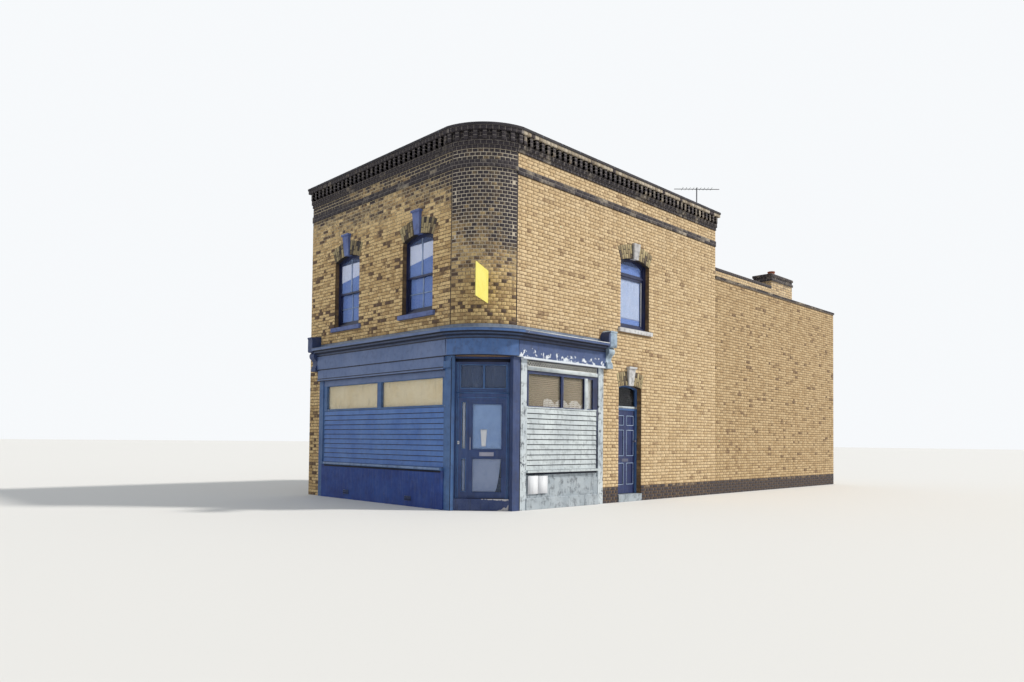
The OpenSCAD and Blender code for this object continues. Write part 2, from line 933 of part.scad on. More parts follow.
bead = 12;
mould_step = 8;
lip_h = 64;
nib = 16;
cove_z = fascia_top + 16;
soffit_z = cornice_top - lip_h + mould_step;
lip_depth = 58;
mould_r = min((cornice_out - lip_depth - fascia_out - bead - mould_step) / 2,
    (soffit_z - cove_z - 3 * mould_step) / 2);
cove_x = fascia_out + bead;
round_x = cove_x + mould_r + mould_step;
round_z = cove_z + mould_r + mould_step;

module fascia_profile(top) {
    translate([0, fascia_z]) square([fascia_out, top - fascia_z]);
}

module cornice_profile() {
    difference() {
        polygon([[0, fascia_top], [cove_x, fascia_top], [cove_x, cove_z], [cove_x + mould_r, cove_z],
            [cove_x + mould_r, round_z - mould_step], [round_x, round_z - mould_step],
            [round_x, soffit_z], [cornice_out - nib, soffit_z], [cornice_out - nib, cornice_top - lip_h],
            [cornice_out, cornice_top - lip_h], [cornice_out, cornice_top], [0, cornice_top]]);
        translate([cove_x + mould_r, cove_z]) circle(r = mould_r, $fn = 48);
    }
    intersection() {
        translate([round_x, round_z + mould_r]) circle(r = mould_r, $fn = 48);
        translate([0, round_z]) square([cornice_out, mould_r]);
    }
    translate([0, round_z + mould_r]) square([round_x + mould_r, soffit_z - round_z - mould_r + eps]);
}

module architrave_profile(z0, out) {
    translate([0, z0]) square([out, fascia_z - z0]);
}

front_band_z = 2820;
front_band_out = fascia_out - 18;
front_base_h = 53;
flank_band_z = 3070;

module base_profile() {
    translate([0, front_band_z]) square([front_band_out + bead, front_base_h]);
    translate([front_band_out, front_band_z + front_base_h]) circle(r = bead, $fn = 24);
}

module front_fascia() {
    color(blue) placed() {
        front_run(-pier_x, -bow_leg) {
            fascia_profile(fascia_top);
            cornice_profile();
        }
        front_run(-pier_x, -front_right) {
            architrave_profile(front_band_z, front_band_out);
            base_profile();
        }
    }
}

module corner_fascia() {
    color(blue) placed() bow_run() {
        fascia_profile(fascia_top);
        cornice_profile();
    }
}

module flank_fascia() {
    color(blue) placed() {
        flank_run(bow_leg, pier_y) fascia_profile(console_mid);
        flank_run(bow_leg, head_y) cornice_profile();
        flank_run(post_end, pier_y) architrave_profile(flank_band_z, fascia_out + bead);
    }
}

module flashing_profile() {
    polygon([[0, cornice_top], [cornice_out + 6, cornice_top], [cornice_out + 6, cornice_top + 8],
        [8, flashing_z - 60], [8, flashing_z], [0, flashing_z]]);
}

module shop_flashing() {
    color(lead) placed() {
        front_run(-pier_x, -bow_leg - 2) flashing_profile();
        bow_run() flashing_profile();
        flank_run(bow_leg + 2, head_y) flashing_profile();
    }
}

// Console: a tall head over a scrolled body that narrows to a square foot

scroll_r = 95;
scroll_out = 110;
scroll_z = console_mid - scroll_r + 5;
hollow_out = 195;
hollow_z = console_z + 195;
foot_out = 140;
foot_h = 80;
foot_lip = 12;
eye_r = 40;
eye_t = 6;
shoulder_r = 170;

module console_head() {
    polygon([[0, console_mid], [console_out - 20, console_mid], [console_out, console_mid + 30],
        [console_out, console_top - 70], [console_out + 15, console_top - 55],
        [console_out + 15, console_top - 25], [0, console_top]]);
}

module console_body() {
    difference() {
        translate([0, console_z]) square([foot_out, scroll_z - console_z]);
        translate([hollow_out, hollow_z]) circle(r = scroll_r, $fn = 48);
    }
    translate([0, console_z]) square([foot_out + foot_lip, foot_h]);
    translate([0, scroll_z - eps]) square([scroll_out, console_mid - scroll_z + 2 * eps]);
    translate([scroll_out, scroll_z]) circle(r = scroll_r, $fn = 48);
}

// The scroll's eye is a low boss on the side away from the shop

module scroll_eye() {
    translate([scroll_out, scroll_z]) circle(r = eye_r, $fn = 32);
}

module front_console() {
    front_run(0, console_w) {
        console_head();
        console_body();
    }
    front_run(-eye_t, eps) scroll_eye();
}

// The flank console's head is wider than its body, with a round shoulder towards the shop

flank_body_x = pier_y + 5 - head_y;
flank_body_w = 200;

module shoulder_shape() {
    h = console_top - console_mid;
    translate([0, console_mid]) intersection() {
        square([flank_console_w, h]);
        union() {
            square([flank_console_w, h - shoulder_r]);
            translate([shoulder_r, h - shoulder_r]) circle(r = shoulder_r, $fn = arc_fn);
            translate([shoulder_r, 0]) square([flank_console_w, h]);
        }
    }
}

module flank_console() {
    intersection() {
        front_run(0, flank_console_w) console_head();
        translate([0, -big / 2, 0]) plate(big) shoulder_shape();
    }
    front_run(flank_body_x, flank_body_x + flank_body_w) console_body();
    front_run(flank_body_x + flank_body_w - eps, flank_body_x + flank_body_w + eye_t) scroll_eye();
}

module console_brackets() {
    color(blue) placed() {
        at_front(pier_x + console_w) front_console();
        at_flank(head_y) flank_console();
    }
}

module shop_pilasters() {
    color(pale) placed() {
        front_run(-shop_l - pilaster_w, -shop_l) square([pilaster_out, front_band_z]);
        flank_run(shop_r, pier_y) square([pilaster_out, flank_band_z]);
        flank_run(post_end, flank_left) translate([-post_in, 0])
            square([post_in + pilaster_out, flank_band_z]);
    }
}

// Posts at both ends of the bow, each with a face to its street and a face to the door

post_end = 1050;
face_x = chord_x + pilaster_out;
post_back = face_x - post_in;
post_u = 560;
post_r = 560;
// The front post turns to the door along this line
crease_x = root2 * face_x + pilaster_out;
cap_z = 2861;
cap_h = 134;
cap_out = 45;

function diag(x, u) = [(x + u) / root2, (u - x) / root2];

module post_plan(u, street_end) {
    polygon([[-street_end, -pilaster_out], [crease_x, -pilaster_out], diag(face_x, -u),
        diag(post_back, -u), [-street_end, post_in]]);
}

module corner_posts() {
    color(blue) placed() {
        linear_extrude(fascia_z) post_plan(post_u, front_right);
        front_run(-front_right, crease_x - 10) translate([pilaster_out - eps, cap_z])
            square([cap_out + eps, cap_h]);
        mirror([1, 1, 0]) linear_extrude(fascia_z) post_plan(post_r, post_end);
    }
}

// Shop windows: head, mullion, sill rail and jambs around two panes, boards below the glass

frame_t = 70;
front_left = shop_l;
front_right = 1045;
flank_left = post_end + flank_pilaster_w;
front_mullion = 3355;
front_mullion_w = 75;
flank_mullion = 2340;
flank_mullion_w = 33;
front_edge = 44;
flank_edge = [40, 50];
flank_glass_top = 2790;
flank_stall_z = 800;
sill_rail_h = 60;
flank_rail_h = 45;
glass_rail = 40;
shop_pane_t = 6;
lattice_z = 2934;
lattice_top = flank_band_z - 6;
lattice_edge = [30, 40];

// Panes of both shop windows: [left, right] along the wall
front_lights = [
    [-front_left + 150, -front_mullion - front_mullion_w],
    [-front_mullion + front_mullion_w, -front_right - 85]
];
flank_lights = [
    [flank_left + 68, flank_mullion - flank_mullion_w],
    [flank_mullion + flank_mullion_w, shop_r - 480],
    [shop_r - 360, shop_r - 172]
];

module frame_grid(x0, x1, z0, z1, cuts) {
    difference() {
        translate([x0, z0]) square([x1 - x0, z1 - z0]);
        for (c = cuts) translate([c[0], c[1]]) square([c[2] - c[0], c[3] - c[1]]);
    }
}

module front_shop_frame() {
    cuts = concat([for (p = front_lights) [p[0], glass_z, p[1], glass_top]],
        [[-front_left + front_edge, stall_z, -front_right - front_edge, glass_z - glass_rail]]);
    bottom = stall_z - sill_rail_h;
    color(blue) placed() {
        translate([0, frame_t - 20, 0]) rotate([90, 0, 0]) linear_extrude(frame_t)
            frame_grid(-front_left, -front_right, bottom, front_band_z, cuts);
        translate([-front_left, -95, bottom]) cube([front_left - front_right, 76, sill_rail_h]);
        translate([-front_left, 0, front_band_z - eps])
            cube([front_left - front_right, frame_t - 20, fascia_z - front_band_z + eps]);
    }
}

module flank_shop_frame() {
    cuts = concat([for (p = flank_lights) [p[0], glass_z, p[1], flank_glass_top]],
        [[flank_left + flank_edge[0], flank_stall_z, shop_r - flank_edge[1], glass_z - glass_rail],
        [flank_left + lattice_edge[0], lattice_z, shop_r - lattice_edge[1], lattice_top]]);
    bottom = flank_stall_z - flank_rail_h;
    color(blue) placed() {
        translate([-frame_t + 20, 0, 0]) rotate([90, 0, 90]) linear_extrude(frame_t)
            frame_grid(flank_left, shop_r, bottom, flank_band_z, cuts);
        translate([19, flank_left, bottom]) cube([76, shop_r - flank_left, flank_rail_h]);
        translate([-frame_t + 20, flank_left, flank_band_z - eps])
            cube([frame_t - 20, shop_r - flank_left, fascia_z - flank_band_z + eps]);
    }
}

module shop_glass() {
    y = 20;
    color(glass) placed() {
        for (p = front_lights) translate([p[0], y, glass_z])
            cube([p[1] - p[0], shop_pane_t, glass_top - glass_z]);
        for (p = flank_lights) translate([-y - shop_pane_t, p[0], glass_z])
            cube([shop_pane_t, p[1] - p[0], flank_glass_top - glass_z]);
    }
}

// Overlapping boards as one saw-tooth section

module board_profile(z0, z1, n) {
    pitch = (z1 - z0) / n;
    steps = [for (i = [0 : n - 1]) each [[24, z0 + i * pitch], [10, z0 + (i + 1) * pitch - 6],
        [4, z0 + (i + 1) * pitch - 6], [4, z0 + (i + 1) * pitch]]];
    polygon(concat([[-20, z0]], steps, [[-20, z1]]));
}

module shop_boards() {
    color(blue) placed() {
        front_run(-front_left + front_edge, -front_right - front_edge)
            board_profile(stall_z, glass_z - glass_rail, front_boards);
        flank_run(flank_left + flank_edge[0], shop_r - flank_edge[1])
            board_profile(flank_stall_z, glass_z - glass_rail, flank_boards);
    }
}

riser_out = 60;
plinth_top = 237;
render_out = 30;
render_top = 620;

module stall_risers() {
    color(blue) placed() {
        front_run(-front_left, -front_right) translate([-riser_in, 0])
            square([riser_in + riser_out, stall_z - sill_rail_h]);
        flank_run(flank_left, shop_r) polygon([[-riser_in, 0], [riser_out, 0], [riser_out, plinth_top - 11],
            [riser_out - 10, plinth_top], [render_out, plinth_top], [render_out, render_top],
            [5, render_top], [5, flank_stall_z - flank_rail_h],
            [-riser_in, flank_stall_z - flank_rail_h]]);
    }
}

// Ventilator over the flank window: crossed slats in a slim border

slat_w = 10;
slat_t = 6;
slat_pitch = 75;
border = 12;

module slats(y0, y1, lean) {
    rotate([90, 0, 90]) linear_extrude(slat_t) intersection() {
        translate([y0, lattice_z]) square([y1 - y0, lattice_top - lattice_z]);
        union() for (y = [y0 - 2 * slat_pitch : slat_pitch : y1 + 2 * slat_pitch])
            translate([y, lattice_z - slat_w]) rotate(lean) square([4 * slat_pitch, slat_w]);
    }
}

module lattice_ventilator() {
    y0 = flank_left + lattice_edge[0];
    y1 = shop_r - lattice_edge[1];
    color([0.86, 0.84, 0.76]) placed() {
        rotate([90, 0, 90]) linear_extrude(border) difference() {
            translate([y0, lattice_z]) square([y1 - y0, lattice_top - lattice_z]);
            translate([y0 + border, lattice_z + border])
                square([y1 - y0 - 2 * border, lattice_top - lattice_z - 2 * border]);
        }
        slats(y0, y1, 45);
        translate([slat_t, 0, 0]) slats(y0, y1, 135);
    }
}

// Corner entrance: frame with a slim sidelight, two lights over the transom, and the leaf

frame_face = chord_x - 60;
stop_t = 16;
leaf_u0 = -300;
leaf_u1 = leaf_u0 + door_w;
leaf_face = frame_face - stop_t;
leaf_back = leaf_face - door_t;
frame_back = leaf_back;
leaf_z = floor_z + 10;
transom_z = leaf_z + door_h + door_gap;
transom_top = 2390;
side_u0 = -407;
side_u1 = -338;

// Fixed lights: [left, right, underside, top] of each pane, in the frame of the corner
corner_light_boxes = [
    [side_u0, side_u1, 1240, 2170], [side_u0, side_u1, 381, 1034],
    [-441, 9, 2464, 2924], [44, 472, 2464, 2924]
];

module diag_box(x0, x1, u0, u1, z0, z1) {
    at_corner() translate([x0, u0, z0]) cube([x1 - x0, u1 - u0, z1 - z0]);
}

module corner_door_frame() {
    u0 = -post_u + fit;
    u1 = post_r - fit;
    color(blue) placed() at_corner() {
        difference() {
            translate([frame_back, u0, floor_z])
                cube([frame_face - frame_back, u1 - u0, fascia_z - fit - floor_z]);
            translate([frame_back - eps, leaf_u0 - door_gap, floor_z - eps])
                cube([200, door_w + 2 * door_gap, leaf_z + door_h + door_gap - floor_z + eps]);
            for (light = corner_light_boxes)
                translate([frame_back - eps, light[0], light[2]])
                    cube([200, light[1] - light[0], light[3] - light[2]]);
        }
        translate([leaf_face + door_gap, leaf_u0 - door_gap, floor_z])
            cube([frame_face - leaf_face - door_gap, 18, door_h + leaf_z + door_gap - floor_z]);
        translate([leaf_face + door_gap, leaf_u1 + door_gap - 18, floor_z])
            cube([frame_face - leaf_face - door_gap, 18, door_h + leaf_z + door_gap - floor_z]);
        translate([leaf_face + door_gap, leaf_u0, transom_z - 18])
            cube([frame_face - leaf_face - door_gap, door_w, 18]);
    }
}

module corner_lights() {
    x = frame_back + 27;
    color(glass) placed() for (light = corner_light_boxes)
        diag_box(x, x + 6, light[0], light[1], light[2], light[3]);
}

module corner_step() {
    color(blue) placed() diag_box(frame_back + fit, face_x - 15, -post_u + fit, post_r - fit, 0, floor_z);
}

// Panes of the leaf: [left, right, underside, top], widths from its left edge
door_lights = [[105, 690, 1226, 2138], [105, 690, 369, 1034]];

module corner_door_leaf() {
    color(dark_blue) placed() at_corner() difference() {
        translate([leaf_back, leaf_u0, leaf_z]) cube([door_t, door_w, door_h]);
        for (g = door_lights) translate([leaf_back - eps, leaf_u0 + g[0], g[2]])
            cube([door_t + 2 * eps, g[1] - g[0], g[3] - g[2]]);
    }
}

module corner_door_panes() {
    x = leaf_back + 19;
    color(glass) placed() for (g = door_lights)
        diag_box(x, x + 6, leaf_u0 + g[0], leaf_u0 + g[1], g[2], g[3]);
}

// Butt hinges on the room side: two frame knuckles with the pin, one leaf knuckle between them

pin_r = 4;
knuckle_r = 9;
knuckle_h = 34;
pin_fit = 0.3;
hinge_rises = [180, door_h / 2, door_h - 180];

module frame_knuckles(dir) {
    for (s = [-1, 1]) translate([0, 0, s * (knuckle_h + pin_fit) - knuckle_h / 2]) {
        cylinder(h = knuckle_h, r = knuckle_r, $fn = 32);
        translate([knuckle_r - 3, dir > 0 ? 0 : -45, 0]) cube([3, 45, knuckle_h]);
    }
    translate([0, 0, -1.5 * knuckle_h - pin_fit])
        cylinder(h = 3 * knuckle_h + 2 * pin_fit, r = pin_r, $fn = 32);
}

module leaf_knuckle(dir) {
    difference() {
        union() {
            translate([0, 0, -knuckle_h / 2]) cylinder(h = knuckle_h, r = knuckle_r, $fn = 32);
            translate([knuckle_r - 3, dir > 0 ? -45 : 0, -knuckle_h / 2]) cube([3, 45, knuckle_h]);
        }
        translate([0, 0, -knuckle_h]) cylinder(h = 2 * knuckle_h, r = pin_r + pin_fit, $fn = 32);
    }
}

module at_corner_pins() {
    for (z = hinge_rises) at_corner()
        translate([leaf_back - knuckle_r, leaf_u1 + door_gap / 2, leaf_z + z]) children();
}

module at_side_pins() {
    for (z = hinge_rises) at_flank(side_door_y)
        translate([-side_door_w / 2 - door_gap / 2, side_face + door_t + knuckle_r, side_leaf_z + z])
            rotate([0, 0, -90]) children();
}

// Letter plate and pull handle on the corner door

pull_in = 62;
pull_out = 55;
pull_z = 1215;
pull_h = 250;

module corner_door_fittings() {
    color(steel) placed() {
        at_corner() {
            translate([leaf_face, leaf_u0 + 245, 1090]) cube([4, 290, 78]);
            for (z = [pull_z + 25, pull_z + pull_h - 25]) translate([leaf_face, leaf_u0 + pull_in, z])
                rotate([0, 90, 0]) cylinder(h = pull_out, r = 9, $fn = 24);
            translate([leaf_face + pull_out, leaf_u0 + pull_in, pull_z])
                cylinder(h = pull_h, r = 11, $fn = 24);
        }
        at_corner_pins() leaf_knuckle(1);
    }
}

module door_hinges() {
    color(steel) placed() {
        at_corner_pins() frame_knuckles(1);
        at_side_pins() frame_knuckles(-1);
    }
}

// Side entrance: frame, transom and fanlight set back in the brick reveal

side_in = 130;
side_face = side_in + stop_t;
side_leaf_z = lobby_z + 12;
side_head = side_leaf_z + door_h + door_gap;

side_transom = 86;
fan_edge = 40;

module fanlight_shape() {
    head_shape(side_door_w, side_head + side_transom, side_spring - fan_edge, rear_rise);
}

module side_door_frame() {
    inner = side_door_w + 2 * door_gap;
    depth = stop_t + door_t;
    color(blue) placed() at_flank(side_door_y) translate([0, side_in, 0]) {
        difference() {
            plate(depth) head_shape(side_open_w, lobby_z, side_spring, rear_rise);
            translate([-inner / 2, -eps, lobby_z - eps])
                cube([inner, depth + 2 * eps, side_head - lobby_z + eps]);
            translate([0, -eps, 0]) plate(depth + 2 * eps) fanlight_shape();
        }
        for (s = [-1, 1]) translate([s * (inner / 2 - 9) - 9, 0, lobby_z])
            cube([18, stop_t - door_gap, side_head - lobby_z]);
        translate([-inner / 2, 0, side_head - 14]) cube([inner, stop_t - door_gap, 14]);
    }
}

module side_step() {
    color(blue) placed() at_flank(side_door_y)
        translate([-side_open_w / 2, -30, 0]) cube([side_open_w, 30 + wall_t, lobby_z]);
}

// Six fielded panels, in rows of two: [underside, top] above the foot of the leaf

panel_rows = [[205, 723], [886, 1509], [1613, 1851]];
panel_stile = 95;
muntin = 125;
panel_w = (side_door_w - 2 * panel_stile - muntin) / 2;
panel_in = 14;
field_in = 6;
field_edge = 28;

module side_door_leaf() {
    w = side_door_w;
    color(dark_blue) placed() at_flank(side_door_y) translate([0, side_face, side_leaf_z]) {
        difference() {
            translate([-w / 2, 0, 0]) cube([w, door_t, door_h]);
            for (row = panel_rows) for (s = [-1, 1]) translate([s * (muntin + panel_w) / 2, -eps, 0])
                plate(panel_in + eps) span(panel_w, row[0], row[1]);
        }
        for (row = panel_rows) for (s = [-1, 1]) translate([s * (muntin + panel_w) / 2, field_in, 0])
            plate(door_t - field_in - eps)
                span(panel_w - 2 * field_edge, row[0] + field_edge, row[1] - field_edge);
    }
}

module side_door_fittings() {
    color([0.7, 0.6, 0.35]) placed() {
        at_flank(side_door_y) translate([0, side_face, 0]) {
            translate([side_door_w / 2 - 35, 0, 1420]) rotate([90, 0, 0]) {
                cylinder(h = 6, r = 30, $fn = 32);
                cylinder(h = 30, r = 12, $fn = 32);
                translate([0, 0, 40]) sphere(r = 24, $fn = 48);
            }
            translate([-125, -4, 935]) cube([250, 4, 70]);
            translate([-85, -8, 955]) cube([170, 5, 30]);
        }
        at_side_pins() leaf_knuckle(-1);
    }
}

// Blank board on a pair of arms, standing out from the bow a little to the left

sign_z = 4130;
sign_l = 840;
sign_h = 650;

module projecting_sign() {
    color([0.95, 0.78, 0.10]) placed() difference() {
        translate([-bow_c, bow_c, 0]) rotate([0, 0, -40]) translate([bow_r, 0, 0]) rotate([0, 0, -19]) {
            translate([35, -6, sign_z]) cube([sign_l, 12, sign_h]);
            for (z = [sign_z + 90, sign_z + sign_h - 130]) translate([-60, -18, z]) cube([300, 12, 40]);
        }
        translate([-bow_c, bow_c, 0]) cylinder(h = 9000, r = bow_r, $fn = bow_fn);
    }
}

// Half-round gutter on a board under the wing's eaves, and two downpipes.
// The rear wall's pipe starts at a hopper that takes the main roof's valley.

gutter_r = 55;
pipe_r = 34;
pipe_foot = 120;
eave_board = 25;
clip = 40;
hopper = [260, 170, 220];
hopper_gap = 290;
hopper_x = -wing_w - hopper_gap;

module downpipe(top, clip_y) {
    translate([0, 0, pipe_foot]) cylinder(h = top - pipe_foot, r = pipe_r, $fn = 32);
    for (h = [600, 2400, 4200]) translate([-clip / 2, min(clip_y, 0), h])
        cube([clip, abs(clip_y), clip]);
}

module gutters() {
    x = -wing_w - eave_board - gutter_r;
    z = wing_eave - 15;
    rear_pipe = 75;
    color(black) placed() {
        translate([-wing_w - eave_board, flank_l, wing_eave - 140]) cube([eave_board, wing_l, 140]);
        translate([x, end_y, z]) rotate([90, 0, 0]) linear_extrude(wing_l) difference() {
            intersection() {
                circle(r = gutter_r, $fn = 48);
                translate([-2 * gutter_r, -2 * gutter_r]) square([4 * gutter_r, 2 * gutter_r]);
            }
            circle(r = gutter_r - 5, $fn = 48);
        }
        translate([x, end_y - 500, 0]) rotate([0, 0, -90]) downpipe(z - gutter_r + 5, -wing_w - x);
        translate([hopper_x, flank_l + rear_pipe, 0]) downpipe(roof_low - hopper[2] + eps, -rear_pipe);
        translate([hopper_x - hopper[0] / 2, flank_l, roof_low - hopper[2]]) difference() {
            cube(hopper);
            translate([15, 15, 60]) cube([hopper[0] - 30, hopper[1] - 30, hopper[2]]);
        }
    }
}

ground_floor();
first_floor();
wing_floors();
front_wall();
corner_wall();
flank_wall();
party_wall();
rear_wall();
wing_flank_wall();
wing_yard_wall();
wing_end_wall();
front_cornice();
corner_cornice();
flank_cornice();
parapet_coping();
brick_arches();
keystones();
window_sills();
main_roof();
wing_roof();
wing_coping();
wing_stack();
chimney_pot();
vent_cowl();
aerial();
street_windows();
rear_windows();
window_glass();
back_door();
shop_beams();
front_fascia();
corner_fascia();
flank_fascia();
shop_flashing();
console_brackets();
shop_pilasters();
corner_posts();
front_shop_frame();
flank_shop_frame();
shop_glass();
shop_boards();
stall_risers();
lattice_ventilator();
corner_door_frame();
corner_lights();
corner_step();
corner_door_leaf();
corner_door_panes();
corner_door_fittings();
side_door_frame();
side_step();
side_door_leaf();
side_door_fittings();
door_hinges();
projecting_sign();
gutters();
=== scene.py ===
import math
import bmesh
import bpy
import numpy as np
from mathutils import Matrix


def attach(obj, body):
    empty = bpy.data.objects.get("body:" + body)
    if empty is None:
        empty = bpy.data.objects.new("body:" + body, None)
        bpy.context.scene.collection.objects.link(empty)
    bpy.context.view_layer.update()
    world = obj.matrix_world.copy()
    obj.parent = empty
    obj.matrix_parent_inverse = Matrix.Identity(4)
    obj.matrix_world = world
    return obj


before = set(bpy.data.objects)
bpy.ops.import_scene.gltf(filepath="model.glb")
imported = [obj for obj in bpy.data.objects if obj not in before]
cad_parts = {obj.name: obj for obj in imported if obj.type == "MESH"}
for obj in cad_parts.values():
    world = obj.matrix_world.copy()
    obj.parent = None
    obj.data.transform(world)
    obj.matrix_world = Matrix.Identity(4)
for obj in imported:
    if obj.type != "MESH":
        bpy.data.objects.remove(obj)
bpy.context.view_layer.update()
rng = np.random.default_rng(41)

# Metres. x and y are counted from the point where the two street walls would meet
cornerAt = np.array([0.465, -0.465, 0.0])
flat = math.sqrt(0.5)  # the shop corner is cut at 45 degrees
course, bedLow = 0.075, 0.0075  # height of a brick course, and how far under the ground the first one starts


def unit(v):
    return v / np.maximum(np.linalg.norm(v, axis=-1, keepdims=True), 1e-9)


def newObject(name, data, axes=None, place=(0, 0, 0)):
    # An object in the scene. The axes are the directions of its own x, y and z
    made = bpy.data.objects.new(name, data)
    bpy.context.scene.collection.objects.link(made)
    if axes:
        turned = np.eye(4)
        turned[:3, :3], turned[:3, 3] = np.transpose(axes), place
        made.matrix_world = Matrix(turned)
    return made


# Shader helpers. Colours are written as they are seen, 0 to 255
def rgb(seen):
    # Seen colour to linear light
    seen = np.array(seen) / 255
    lin = np.where(seen <= 0.04045, seen / 12.92, ((seen + 0.055) / 1.055) ** 2.4)
    return (*lin.tolist(), 1.0)


def feed(socket, value):
    if isinstance(value, bpy.types.NodeSocket):
        socket.id_data.links.new(value, socket)
    else:
        socket.default_value = rgb(value) if socket.type == "RGBA" else value


def put(kind, inputs=None, tree=None, **settings):
    # One node with its settings, in the tree that its linked inputs come from, or else in the given one
    inputs = inputs or {}
    tree = tree or next(v.id_data for v in inputs.values() if isinstance(v, bpy.types.NodeSocket))
    made = tree.nodes.new("ShaderNode" + kind)
    for key, value in settings.items():
        setattr(made, key, value)
    for key, value in inputs.items():
        feed(made.inputs[key], value)
    return made


def calc(operation, *values, clamp=False):
    return put("Math", dict(enumerate(values)), operation=operation, use_clamp=clamp).outputs[0]


def add(a, b, clamp=False):
    return calc("ADD", a, b, clamp=clamp)


def sub(a, b):
    return calc("SUBTRACT", a, b)


def mul(a, b):
    return calc("MULTIPLY", a, b)


def blend(factor, a, b, way="MIX"):
    return put("Mix", {0: factor, 6: a, 7: b}, data_type="RGBA", blend_type=way).outputs[2]


def ramp(value, low, high, lowOut=0.0, highOut=1.0):
    # Eased step from lowOut to highOut
    inputs = dict(enumerate((value, low, high, lowOut, highOut)))
    return put("MapRange", inputs, interpolation_type="SMOOTHSTEP").outputs[0]


def noise(where, scale, detail=4.0, rough=0.55, stretch=None):
    if stretch:
        where = put("Mapping", {"Vector": where, "Scale": stretch}).outputs[0]
    return put("TexNoise", {"Vector": where, "Scale": scale, "Detail": detail, "Roughness": rough}).outputs["Fac"]


def alongAxis(where, axis):
    return put("SeparateXYZ", {0: where}).outputs["xyz".index(axis)]


def nearPlane(where, axis, value, half=0.002):
    # 1 close to a plane across the axis, 0 elsewhere
    return calc("COMPARE", alongAxis(where, axis), value, half)


# Camera and light
shot = {
    "place": (11.003, -10.081, 1.413), "turn": 45.204, "tilt": 1.669, "roll": 0.602,
    "lens": 26.1, "sensor": 36, "shiftUp": 0.0759, "nearest": 0.1, "farthest": 800,
}


def makeCamera():
    # Forward, right and up come from the turn and tilt angles, and the roll mixes right and up
    turn, tilt, roll = (math.radians(shot[k]) for k in ("turn", "tilt", "roll"))
    ahead = np.array([-math.sin(turn) * math.cos(tilt), math.cos(turn) * math.cos(tilt), math.sin(tilt)])
    right = unit(np.cross(ahead, [0, 0, 1]))
    up = np.cross(right, ahead)
    across = math.cos(roll) * right + math.sin(roll) * up
    upright = math.cos(roll) * up - math.sin(roll) * right
    data = bpy.data.cameras.new("streetCamera")
    data.lens, data.sensor_width, data.shift_y = shot["lens"], shot["sensor"], shot["shiftUp"]
    data.clip_start, data.clip_end = shot["nearest"], shot["farthest"]
    bpy.context.scene.camera = newObject("streetCamera", data, (across, upright, -ahead), shot["place"])


# The colours of light are linear
light = {
    "sunFrom": (0.62, 0.58, 0.74), "sunStrength": 3.0, "sunSoft": 5, "sunColour": (1.0, 0.965, 0.90),
    "sky": 0.60, "skyColour": (0.90, 0.95, 1.0, 1), "backdrop": (0.93, 0.95, 0.97, 1),
    "floorColour": (0.72, 0.71, 0.69, 1), "floorRough": 0.9, "floorHalf": 300, "floorLevel": -0.002,
}


def makeLight():
    # A soft sun, and a sky that camera, mirror and glass rays see as a plain backdrop
    sun = bpy.data.lights.new("softSun", "SUN")
    sun.energy, sun.angle, sun.color = light["sunStrength"], math.radians(light["sunSoft"]), light["sunColour"]
    back = unit(np.array(light["sunFrom"]))
    side = unit(np.cross([0, 0, 1], back))
    newObject("softSun", sun, (side, np.cross(back, side), back))
    world = bpy.data.worlds.new("studio")
    bpy.context.scene.world = world
    world.use_nodes = True
    tree = world.node_tree
    sky, backdrop = tree.nodes["Background"], tree.nodes.new("ShaderNodeBackground")
    sky.inputs[0].default_value, sky.inputs[1].default_value = light["skyColour"], light["sky"]
    backdrop.inputs[0].default_value = light["backdrop"]
    path = put("LightPath", tree=tree).outputs
    seen = calc("MAXIMUM", calc("MAXIMUM", path["Is Camera Ray"], path["Is Glossy Ray"]), path["Is Transmission Ray"])
    mixed = put("MixShader", {0: seen, 1: sky.outputs[0], 2: backdrop.outputs[0]}).outputs[0]
    feed(tree.nodes["World Output"].inputs[0], mixed)


makeCamera()
makeLight()
bpy.context.scene.view_settings.view_transform = "Standard"
print("camera and light set")


# Shared finishes: node groups that give colour, roughness and height
def group(name, build, ins):
    # The named inputs have first values: a number, a colour, or None for a vector
    made = bpy.data.node_groups.new(name, "ShaderNodeTree")
    for label, value in {"Where": None, **ins}.items():
        kind = "Vector" if value is None else "Color" if isinstance(value, tuple) else "Float"
        socket = made.interface.new_socket(label, in_out="INPUT", socket_type="NodeSocket" + kind)
        if value is not None:
            socket.default_value = rgb(value) if kind == "Color" else value
    for label, kind in (("Color", "Color"), ("Roughness", "Float"), ("Height", "Float")):
        made.interface.new_socket(label, in_out="OUTPUT", socket_type="NodeSocket" + kind)
    results = build(made.nodes.new("NodeGroupInput").outputs)
    for result, end in zip(results, made.nodes.new("NodeGroupOutput").inputs):
        feed(end, result)
    return made


